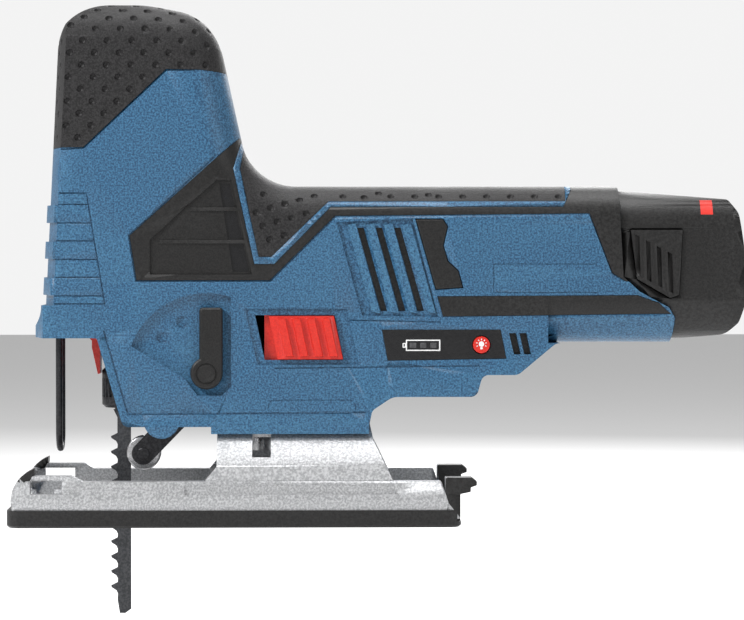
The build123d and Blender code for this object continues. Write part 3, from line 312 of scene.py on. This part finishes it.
metalFinishes = {
    "castAluminium": dict(dark=(0.36, 0.365, 0.375), light=(0.60, 0.605, 0.615), rough=0.42,
                          bump=0.45, grainScale=1300.0, metal=0.7),
    "brightSteel": dict(dark=(0.45, 0.45, 0.46), light=(0.62, 0.62, 0.63), rough=0.28,
                        bump=0.12, grainScale=900.0, metal=1.0),
    "blackSteel": dict(dark=(0.018, 0.018, 0.02), light=(0.04, 0.04, 0.043), rough=0.38,
                       bump=0.18, grainScale=1100.0, metal=0.6),
    "bladeSteel": dict(dark=(0.05, 0.052, 0.056), light=(0.09, 0.092, 0.098), rough=0.4,
                       bump=0.15, grainScale=1200.0, metal=0.7),
    "bronze": dict(dark=(0.4, 0.22, 0.08), light=(0.52, 0.3, 0.12), rough=0.4,
                   bump=0.25, grainScale=1200.0, metal=0.9),
}
materials = {name: mouldedPlastic(name, finish) for name, finish in finishes.items()}
materials.update({name: castMetal(name, finish) for name, finish in metalFinishes.items()})
print("materials built:", len(materials))


def dress(obj, materialName):
    obj.data.materials.clear()
    obj.data.materials.append(materials[materialName])
    for face in obj.data.polygons:
        face.material_index = 0


slotMaterial = {
    "housing_plastic": "housingBlue", "soft_grip": "gripRubber", "black_plastic": "blackPlastic",
    "red_plastic": "signalRed", "cast_aluminium": "castAluminium", "bright_steel": "brightSteel",
    "dark_steel": "blackSteel", "bronze": "bronze", "clear_plastic": "clearPlastic",
    "circuit_board": "boardGreen", "cell_sleeve": "cellGreen",
}
slotOf = {part["node"]: part["material_slot"] for part in frame["record"]["subparts"]}
ownMaterial = {"saw_blade": "bladeSteel", "display_panel": "glossBlack"}

inside = [
    "drive_frame", "lower_plunger_bush", "upper_plunger_bush", "gear_axle", "crank_gear", "yoke",
    "motor_can", "motor_magnets", "motor_end_bell", "front_bearing", "rear_bearing", "armature",
    "motor_shaft", "motor_pinion", "cooling_fan", "orbit_shaft", "switch_module", "control_board",
    "battery_contact_block", "battery_cells", "tilt_clamp_nut", "release_lever_pin",
    "fork_pivot_pin",
]
for name, node in nodes.items():  # every CAD node gets its finish; outer ones are refined below
    dress(node, ownMaterial.get(name, slotMaterial[slotOf[name]]))

pieceNames = {}
for name in nodes:
    if name in inside:
        continue
    words = name.split("_")
    pieceNames[name] = words[0] + "".join(word.capitalize() for word in words[1:]) + "Fine"

pieces = {}
for name, pieceName in pieceNames.items():
    piece = finePiece(name, pieceName)
    dress(piece, ownMaterial.get(name, slotMaterial[slotOf[name]]))
    pieces[name] = piece
print("outer pieces copied:", len(pieces))


# cutting and adding detail
# a plate whose outline is given in (x, z) millimetres, between two Y planes
def outlinePlate(outline, yFrom, yTo):
    deselectAll()
    bpy.ops.mesh.primitive_circle_add(vertices=len(outline), radius=mm, fill_type="NGON")
    plate = bpy.context.object
    for corner, (x, z) in zip(plate.data.vertices, outline):
        corner.co = (x * mm, yFrom * mm, z * mm)
    bpy.ops.object.mode_set(mode="EDIT")
    bpy.ops.mesh.select_all(action="SELECT")
    bpy.ops.mesh.extrude_region_move(TRANSFORM_OT_translate={"value": (0, (yTo - yFrom) * mm, 0)})
    bpy.ops.mesh.select_all(action="SELECT")
    bpy.ops.mesh.normals_make_consistent(inside=False)
    bpy.ops.object.mode_set(mode="OBJECT")
    return plate


# outline of a ribbon along an open path, mitred at its corners
def ribbonOutline(path, width):
    points = [Vector(point) for point in path]
    left, right = [], []
    for i, point in enumerate(points):
        into = (point - points[i - 1]).normalized() if i else None
        onward = (points[i + 1] - point).normalized() if i < len(points) - 1 else None
        along = (into or onward) + (onward or into)
        along.normalize()
        across = Vector((-along.y, along.x))
        stretch = 1 / max(0.35, across.dot(Vector((-(into or onward).y, (into or onward).x))))
        left.append(point + across * width / 2 * stretch)
        right.append(point - across * width / 2 * stretch)
    return [tuple(point) for point in left + right[::-1]]


def joinAll(objects):
    deselectAll()
    for obj in objects:
        obj.select_set(True)
    bpy.context.view_layer.objects.active = objects[0]
    if len(objects) > 1:
        bpy.ops.object.join()
    return objects[0]


# boolean with all the cutters at once; finish names the cut faces' material
def cut(piece, cutters, operation="DIFFERENCE", finish=None):
    cutter = joinAll(cutters)
    settle(cutter)
    if finish:
        cutter.data.materials.clear()
        cutter.data.materials.append(materials[finish])
    modifier = piece.modifiers.new("shape", "BOOLEAN")
    modifier.object = cutter
    modifier.operation = operation
    modifier.solver = "EXACT"
    modifier.material_mode = "TRANSFER" if finish else "INDEX"
    applyAll(piece)
    bpy.data.objects.remove(cutter, do_unlink=True)


def sideGrooves(side, paths, width, depth):
    near, far = side * (sideFace - depth), side * outside
    return [outlinePlate(ribbonOutline(path, width), near, far) for path in paths]


# outline of a rectangle with round corners, counter-clockwise
def roundedBox(x, z, radius, steps=6):
    outline = []
    corners = [(x[1], z[1], 0), (x[0], z[1], 90), (x[0], z[0], 180), (x[1], z[0], 270)]
    for cornerX, cornerZ, start in corners:
        middleX = cornerX + (radius if cornerX == x[0] else -radius)
        middleZ = cornerZ + (radius if cornerZ == z[0] else -radius)
        for step in range(steps + 1):
            angle = math.radians(start + 90 * step / steps)
            outline.append((middleX + radius * math.cos(angle), middleZ + radius * math.sin(angle)))
    return outline


# flat faces joined up, then a small radius on every sharp edge
def softenEdges(piece, width, angle=35, segments=2):
    pick(piece)
    bpy.ops.object.mode_set(mode="EDIT")
    bpy.ops.mesh.select_all(action="SELECT")
    bpy.ops.mesh.dissolve_limited(angle_limit=math.radians(0.6))
    bpy.ops.object.mode_set(mode="OBJECT")
    modifier = piece.modifiers.new("edgeRadius", "BEVEL")
    modifier.width = width * mm
    modifier.segments = segments
    modifier.limit_method = "ANGLE"
    modifier.angle_limit = math.radians(angle)
    modifier.harden_normals = False
    modifier.miter_outer = "MITER_ARC"
    applyAll(piece)


# smooth shading that keeps big faces flat
def flatShade(piece, angle=32):
    smooth(piece, angle)
    modifier = piece.modifiers.new("weights", "WEIGHTED_NORMAL")
    modifier.keep_sharp = True
    modifier.weight = 80
    applyAll(piece)


# dimples of the soft grips
dimple = dict(radius=1.45, depth=0.95, segments=14, rings=8, edgeRoom=1.9, faceRoom=2.6,
              spacing=3.6)


# where a ray meets the grip, if the grip goes on all round that spot
def dimpleSpot(tree, start, way):
    spot, normal, _, distance = tree.ray_cast(start, way, rayReach)
    if spot is None or normal.dot(way) > -0.25:
        return None
    across = way.orthogonal().normalized()
    for turn in range(4):
        offset = Matrix.Rotation(turn * math.pi / 2, 3, way) @ across * dimple["edgeRoom"] * mm
        beside = tree.ray_cast(start + offset, way, rayReach)
        if beside[0] is None or abs(beside[3] - distance) > dimple["faceRoom"] * mm:
            return None
    return spot, normal


def cutDimples(piece, rays):
    tree = BVHTree.FromObject(piece, bpy.context.evaluated_depsgraph_get())
    spots = [spot for spot in (dimpleSpot(tree, *ray) for ray in rays) if spot]
    kept = []
    for spot, normal in spots:
        if all((spot - other).length > dimple["spacing"] * mm for other, _ in kept):
            kept.append((spot, normal))
    deselectAll()
    bpy.ops.mesh.primitive_uv_sphere_add(
        segments=dimple["segments"], ring_count=dimple["rings"], radius=dimple["radius"] * mm
    )
    bowl = bpy.context.object
    bowls = []
    for spot, normal in kept:
        copy = bpy.data.objects.new("bowl", bowl.data.copy())
        bpy.context.scene.collection.objects.link(copy)
        centre = spot + normal * (dimple["radius"] - dimple["depth"]) * mm
        turned = normal.to_track_quat("Z", "Y").to_matrix().to_4x4()
        copy.matrix_world = Matrix.Translation(centre) @ turned
        bowls.append(copy)
    bpy.data.objects.remove(bowl, do_unlink=True)
    bpy.context.view_layer.update()
    cut(piece, bowls)
    return len(kept)


knobGrid = dict(
    anchor=(-4.4, 150.7), columns=(-5, 14), rows=(-3, 16), pitch=(4.52, 4.41),
    lean=0.049, round=14.0, seamRoom=1.9, front=dict(y=3.2, columns=(0, 5), rows=(-2, 8)),
)


# staggered rows up the side, round the shoulder and over the top, then the front face
def knobRays(tree, side):
    rays = []
    grid = knobGrid
    for i in range(*grid["columns"]):
        for j in range(*grid["rows"]):
            if (i + j) % 2:
                continue
            height = grid["anchor"][1] + grid["pitch"][1] * j
            x = grid["anchor"][0] + grid["pitch"][0] * i
            x += grid["lean"] * (height - grid["anchor"][1])
            above = Vector((x * mm, side * 3 * mm, rayReach))
            top = tree.ray_cast(above, Vector((0, 0, -1)), rayReach)[0]
            if top is None:
                continue
            shoulder = top.z / mm - grid["round"]
            travel = height - shoulder
            if travel <= 0:
                rays.append((Vector((x * mm, side * 0.1, height * mm)), Vector((0, -side, 0))))
                continue
            angle = min(travel / grid["round"], math.pi / 2)
            way = Vector((0, side * math.cos(angle), math.sin(angle)))
            centreY = side * (sideFace - grid["round"])
            over = max(0.0, travel - grid["round"] * math.pi / 2)
            centre = Vector((x * mm, (centreY - side * over) * mm, shoulder * mm))
            if side * centre.y > grid["seamRoom"] * mm:
                rays.append((centre + way * 0.08, -way))
    front = grid["front"]
    for i in range(*front["columns"]):
        for j in range(*front["rows"]):
            if (i + j) % 2 == 0:
                y = side * (front["y"] + i * grid["pitch"][0])
                height = grid["anchor"][1] + grid["pitch"][1] * j
                rays.append((Vector((-0.1, y * mm, height * mm)), Vector((1, 0, 0))))
    return rays


for word, side in (("left", -1), ("right", 1)):
    knob = pieces[word + "_knob_grip"]
    knobTree = BVHTree.FromObject(knob, bpy.context.evaluated_depsgraph_get())
    print(word, "knob dimples:", cutDimples(knob, knobRays(knobTree, side)))

gripGrid = dict(
    anchor=(53.9, 121.1), first=(5.3, 1.5), second=(2.45, -5.0), columns=(-4, 12), rows=(-4, 8),
    top=dict(x=52, y=3.0, height=0.11, pitch=4.4, columns=30, rows=4),
)


def gripRays(side):
    rays = []
    anchor, first, second = (gripGrid[key] for key in ("anchor", "first", "second"))
    for i in range(*gripGrid["columns"]):
        for j in range(*gripGrid["rows"]):
            x = anchor[0] + i * first[0] + j * second[0]
            z = anchor[1] + i * first[1] + j * second[1]
            rays.append((Vector((x * mm, side * 0.1, z * mm)), Vector((0, -side, 0))))
    top = gripGrid["top"]
    for i in range(top["columns"]):
        for j in range(top["rows"]):
            if (i + j) % 2 == 0:
                x = top["x"] + i * top["pitch"]
                angle = math.radians(90 - 0.1 * j) if j < 3 else math.radians(55)
                y = side * (top["y"] + j * top["pitch"])
                way = Vector((0, side * math.cos(angle), math.sin(angle)))
                rays.append((Vector((x * mm, y * mm, top["height"])) + way * 0.08, -way))
    return rays


for word, side in (("left", -1), ("right", 1)):
    print(word, "barrel dimples:", cutDimples(pieces[word + "_barrel_grip"], gripRays(side)))

# black side panels: sunk field, ribs and the slot beside the grip
panelField = dict(
    field=[(36.3, 126.2), (41.9, 126.2), (49.5, 91.9), (12.2, 91.9), (12.2, 104.6),
           (26.1, 117.3)],
    slot=[(37.6, 125.2), (41.4, 125.2), (48.6, 92.9), (42.4, 92.9)],
    ribs=[((26.6, 115.8), (44.6, 115.8)), ((15.2, 103.9), (47.3, 103.9))],
    fieldDepth=0.8, slotDepth=1.45, ribWidth=1.3, ribTop=0.25, ribRoot=1.5,
)
for word, side in (("left", -1), ("right", 1)):
    panel = pieces[word + "_vent_panel"]
    floorY = side * (sideFace - panelField["fieldDepth"])
    cut(panel, [outlinePlate(panelField["field"], floorY, side * outside)])
    floorY = side * (sideFace - panelField["slotDepth"])
    cut(panel, [outlinePlate(panelField["slot"], floorY, side * outside)], finish="glossBlack")
    rootY = side * (sideFace - panelField["ribRoot"])
    topY = side * (sideFace - panelField["ribTop"])
    ribs = [
        outlinePlate(ribbonOutline(path, panelField["ribWidth"]), rootY, topY)
        for path in panelField["ribs"]
    ]
    cut(panel, ribs, "UNION")
print("panels cut")

# housing shells: louvres, frames, grooves
shellDetail = dict(
    rim=[[(-4.6, 71.5), (4.2, 40.8), (91.2, 41.4)]],
    steps=[[(83.5, 75.2), (118.3, 74.5)], [(57.9, 57.6), (132.9, 58.4)]],
    louvreField=[(80.4, 111.0), (108.2, 112.4), (117.6, 76.4), (89.8, 76.9)],
    louvreDepth=1.1, fins=4, finPitch=6.76, finStart=84.25, finWidth=3.1, finSlope=-0.277,
    finZ=(110.6, 77.6), finLip=0.6, finDepth=2.2,
    switchFrame=[(46.9, 79.4), (84.2, 79.4), (88.6, 58.9), (51.4, 58.9)], switchDepth=0.8,
    frames=[(((55.4, 87.5), (40.9, 45.9)), 2.4, 6), (((138.0, 176.0), (85.3, 95.7)), 0.4, 2)],
    seams=[[(-23.0, 137.3), (-11.8, 138.1), (18.4, 166.5), (31.5, 166.4), (42, 165.1)],
           [(47.0, 144.9), (4.5, 106.2), (7.1, 89.5), (56.2, 89.5), (80.1, 113.1), (173.2, 114.0),
            (181.6, 92.1), (186.0, 89.4)]],
    bandRear=[(-4.2, 81.2), (-10.9, 121.6)], bandFront=-22.6,
    bandZ=(81.2, 84.1, 90.9, 97.4, 104.2, 110.7, 117.5, 121.6),
    grooves=dict(rim=(0.7, 0.45), steps=(0.5, 0.4), seams=(0.6, 0.6)),
    bandGroove=(0.5, 0.5), frameGroove=(0.35, 0.22),
)


# thin lines that frame the raised grip bands beside the front corner
def bandGrooves():
    (lowX, lowZ), (highX, highZ) = shellDetail["bandRear"]
    paths = [[(lowX, lowZ - 0.2), (highX, highZ + 0.2)]]
    for z in shellDetail["bandZ"]:
        reach = lowX + (highX - lowX) * (z - lowZ) / (highZ - lowZ)
        paths.append([(shellDetail["bandFront"], z), (reach, z)])
    return paths


for word, side in (("left", -1), ("right", 1)):
    shell = pieces[word + "_housing_shell"]
    detail = shellDetail
    floorY = side * (sideFace - detail["louvreDepth"])
    cut(shell, [outlinePlate(detail["louvreField"], floorY, side * outside)])
    fins = []
    topZ, lowZ = detail["finZ"]
    drop = (lowZ - topZ) * detail["finSlope"]
    lip, width = detail["finLip"], detail["finWidth"]
    for i in range(detail["fins"]):
        x = detail["finStart"] + i * detail["finPitch"]
        outline = [
            (x, topZ - lip), (x + width, topZ), (x + width + drop, lowZ), (x + drop, lowZ + lip),
        ]
        fins.append(outlinePlate(outline, side * (sideFace - detail["finDepth"]), side * sideFace))
    cut(shell, fins, "UNION")
    if side < 0:
        floorY = side * (sideFace - detail["switchDepth"])
        cut(shell, [outlinePlate(detail["switchFrame"], floorY, side * outside)])
    for groove, size in detail["grooves"].items():
        cut(shell, sideGrooves(side, detail[groove], *size))
    for path in bandGrooves():
        cut(shell, sideGrooves(side, [path], *detail["bandGroove"]))
    for box, radius, steps in detail["frames"]:
        cut(shell, sideGrooves(side, [roundedBox(*box, radius, steps)], *detail["frameGroove"]))
print("shells cut")

# black screens close behind the cooling slots: painted shade that stands in for the dark inside of
# the barrel, so no light passes through it
slotShadeScreen = dict(
    louvres=([(86.5, 110.2), (105.4, 110.2), (114.4, 77.3), (95.6, 77.3)], (21.0, 25.7)),
    rearSlots=([(142.9, 71.2), (150.9, 71.2), (152.3, 62.4), (144.7, 61.9)], (18.0, 25.7)),
)
for word, side in (("left", -1), ("right", 1)):
    shell = pieces[word + "_housing_shell"]
    screens = []
    for outline, (near, far) in slotShadeScreen.values():
        screen = outlinePlate(outline, side * near, side * far)
        settle(screen)
        # black plastic here is painted shade behind the slots, not a real part
        dress(screen, "blackPlastic")
        screens.append(screen)
    joinAll([shell] + screens)
print("slot shade screens set")

# base: black clips at the ends of the plate
clipRoom = dict(frontX=-29.0, frontZ=17.0, rearX=120.4, rearZ=6.5, y=(28.0, 36.2))
plate = pieces["base_plate"]
plate.data.materials.append(materials["blackPlastic"])
for face in plate.data.polygons:
    x, y, z = (value / mm for value in face.center)
    acrossClip = clipRoom["y"][0] < abs(y) < clipRoom["y"][1]
    atFront = x < clipRoom["frontX"] and z > clipRoom["frontZ"]
    atRear = x > clipRoom["rearX"] and z > clipRoom["rearZ"]
    if acrossClip and (atFront or atRear):
        face.material_index = 1
print("base clips coloured")

# guide roller: bright ground ring round a dark hub
rollerHub = 3.4  # radius, in mm
rollerFine = pieces["guide_roller"]
rollerMiddle = sum(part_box("guide_roller"), Vector()) / 2
rollerFine.data.materials.append(materials["brightSteel"])
for face in rollerFine.data.polygons:
    away = face.center - rollerMiddle
    if math.hypot(away.x, away.z) > rollerHub * mm:
        face.material_index = 1
print("roller ring coloured")

# battery: the red corner mark
batteryMark = dict(
    x=(214.4, 218.9), y=(15.0, 30.0), z=(113.9, 119.2), colour=(0.62, 0.03, 0.02),
)


# 1 inside a box in object coordinates, from three pairs of comparisons
def boxMask(tree, low, high):
    place = tree.nodes.new("ShaderNodeTexCoord")
    split = tree.nodes.new("ShaderNodeSeparateXYZ")
    tree.links.new(place.outputs["Object"], split.inputs[0])
    mask = None
    for axis in range(3):
        for operation, limit in (("GREATER_THAN", low[axis]), ("LESS_THAN", high[axis])):
            test = tree.nodes.new("ShaderNodeMath")
            test.operation = operation
            test.inputs[1].default_value = limit * mm
            tree.links.new(split.outputs[axis], test.inputs[0])
            if mask is None:
                mask = test.outputs[0]
                continue
            both = tree.nodes.new("ShaderNodeMath")
            both.operation = "MULTIPLY"
            tree.links.new(mask, both.inputs[0])
            tree.links.new(test.outputs[0], both.inputs[1])
            mask = both.outputs[0]
    return mask


# a printed patch on a moulded part
def paintBox(material, low, high, colour):
    tree = material.node_tree
    shader = next(node for node in tree.nodes if node.type == "BSDF_PRINCIPLED")
    under = shader.inputs["Base Color"].links[0].from_socket
    paint = mixColor(tree, colour, colour)
    tree.links.new(boxMask(tree, low, high), paint.inputs[0])
    tree.links.new(under, paint.inputs[6])
    tree.links.new(paint.outputs[2], shader.inputs["Base Color"])


packMaterial = mouldedPlastic("packBlack", finishes["blackPlastic"])
for near, away in (batteryMark["y"], (-batteryMark["y"][1], -batteryMark["y"][0])):
    low = (batteryMark["x"][0], near, batteryMark["z"][0])
    high = (batteryMark["x"][1], away, batteryMark["z"][1])
    paintBox(packMaterial, low, high, batteryMark["colour"])
for name in ("battery_case", "battery_end_cap"):
    pieces[name].data.materials.clear()
    pieces[name].data.materials.append(packMaterial)
print("battery painted")

# display: charge gauge and the lamp key's sign
gauge = dict(
    box=((105.8, 118.4), (63.9, 68.0)), nose=((104.6, 105.8), (65.1, 66.8)), line=0.42,
    noseLine=0.35, cells=[(107.2, 109.6), (111.0, 113.3), (114.7, 117.0)], cellZ=(65.0, 66.9),
    rise=0.08, sunk=0.05,
)
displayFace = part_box("display_panel")[0].y / mm
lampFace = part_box("lamp_button")[0].y / mm


# four bars that make a rectangle's outline
def frameRibbons(x, z, line):
    return [
        roundedBox(x, (z[1] - line, z[1]), 0.1, 1), roundedBox(x, (z[0], z[0] + line), 0.1, 1),
        roundedBox((x[0], x[0] + line), (z[0] + line, z[1] - line), 0.05, 1),
        roundedBox((x[1] - line, x[1]), (z[0] + line, z[1] - line), 0.05, 1),
    ]


def printedSign(name, outlines, face, body, finish):
    rootY, topY = face + gauge["sunk"], face - gauge["rise"]
    plates = [outlinePlate(outline, rootY, topY) for outline in outlines]
    sign = joinAll(plates)
    sign.name = name
    settle(sign)
    dress(sign, finish)
    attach(sign, body)
    return sign


gaugeOutlines = frameRibbons(*gauge["box"], gauge["line"])
gaugeOutlines += frameRibbons(*gauge["nose"], gauge["noseLine"])
printedSign("gaugeFrame", gaugeOutlines, displayFace, nodes["display_panel"]["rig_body"],
            "signWhite")
gaugeCells = [roundedBox(x, gauge["cellZ"], 0.2, 2) for x in gauge["cells"]]
printedSign("gaugeCells", gaugeCells, displayFace, nodes["display_panel"]["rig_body"],
            "signGrey")
bulb = dict(
    centre=(133.5, 66.4), radius=1.0, base=((-0.45, 0.45), (-1.9, -1.1)),
    rays=7, firstRay=-25, raySweep=230, reach=(1.45, 2.0), width=0.3,
)
bulbX, bulbZ = bulb["centre"]
bulbOutline = [
    (bulbX + bulb["radius"] * math.cos(angle), bulbZ + bulb["radius"] * math.sin(angle))
    for angle in (turn * math.pi / 8 for turn in range(16))
]
baseX = [bulbX + reach for reach in bulb["base"][0]]
baseZ = [bulbZ + reach for reach in bulb["base"][1]]
bulbSigns = [bulbOutline, roundedBox(baseX, baseZ, 0.1, 1)]
for ray in range(bulb["rays"]):
    angle = math.radians(bulb["firstRay"] + bulb["raySweep"] * ray / (bulb["rays"] - 1))
    ends = [(bulbX + r * math.cos(angle), bulbZ + r * math.sin(angle)) for r in bulb["reach"]]
    bulbSigns.append(ribbonOutline(ends, bulb["width"]))
printedSign("lampSign", bulbSigns, lampFace, nodes["lamp_button"]["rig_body"],
            "signWhite")
print("display signs made")

# small parts get real edge radii
edgeRadii = {
    "left_side_pad": 0.6, "right_side_pad": 0.6, "left_side_strip": 0.6, "right_side_strip": 0.6,
    "orbit_lever": 0.45, "display_panel": 0.15, "lamp_button": 0.25,
}
for name, radius in edgeRadii.items():
    softenEdges(pieces[name], radius)
for piece in pieces.values():
    flatShade(piece)
print("edges softened")

# camera, floor, light
view = dict(
    eye=(65.6 * mm, -1130 * mm, 101.9 * mm), aim=(94.1 * mm, 0.0, 78.3 * mm), lens=145.8,
    sensor=36.0, farthest=50.0,
)
camera = bpy.data.objects.new("camera", bpy.data.cameras.new("camera"))
bpy.context.scene.collection.objects.link(camera)
camera.location = view["eye"]
toward = Vector(view["aim"]) - Vector(view["eye"])
camera.rotation_euler = toward.to_track_quat("-Z", "Y").to_euler()
camera.data.lens = view["lens"]
camera.data.sensor_width = view["sensor"]
camera.data.clip_end = view["farthest"]
bpy.context.scene.camera = camera

floorPlan = dict(height=-0.047, size=8.0, colour=(0.86, 0.86, 0.86), rough=0.9)
deselectAll()
bpy.ops.mesh.primitive_plane_add(size=floorPlan["size"], location=(0, 0, floorPlan["height"]))
floor = bpy.context.object
floor.name = "floor"
settle(floor)
floorMaterial, _, floorShader = newMaterial("floorPaper")
floorShader.inputs["Base Color"].default_value = (*floorPlan["colour"], 1)
floorShader.inputs["Roughness"].default_value = floorPlan["rough"]
floor.data.materials.append(floorMaterial)

world = bpy.data.worlds.new("studio")
bpy.context.scene.world = world
world.use_nodes = True
skyLevels = dict(lighting=0.5, seen=0.9)  # the room is lit more softly than the paper looks
sky = world.node_tree.nodes["Background"]
skyRays = world.node_tree.nodes.new("ShaderNodeLightPath")
skyLevel = world.node_tree.nodes.new("ShaderNodeMapRange")
skyLevel.inputs["To Min"].default_value = skyLevels["lighting"]
skyLevel.inputs["To Max"].default_value = skyLevels["seen"]
sky.inputs["Color"].default_value = (1, 1, 1, 1)
world.node_tree.links.new(skyRays.outputs["Is Camera Ray"], skyLevel.inputs["Value"])
world.node_tree.links.new(skyLevel.outputs["Result"], sky.inputs["Strength"])

lampAim = Vector((0.07, 0, 0.1))
lamps = [
    dict(name="keySoftbox", place=(-0.75, -0.55, 0.8), size=0.3, power=13.0),
    dict(name="topSoftbox", place=(0.1, 0.0, 1.1), size=0.6, power=8.0),
    dict(name="fillCard", place=(0.95, -0.8, 0.35), size=0.5, power=2.0),
    dict(name="rimCard", place=(0.3, 0.9, 0.6), size=0.6, power=6.0),
]
for lamp in lamps:
    light = bpy.data.objects.new(lamp["name"], bpy.data.lights.new(lamp["name"], "AREA"))
    bpy.context.scene.collection.objects.link(light)
    light.data.size = lamp["size"]
    light.data.energy = lamp["power"]
    light.location = lamp["place"]
    aim = lampAim - Vector(lamp["place"])
    light.rotation_euler = aim.to_track_quat("-Z", "Y").to_euler()
bpy.context.scene.view_settings.view_transform = "Standard"
print("stage set")
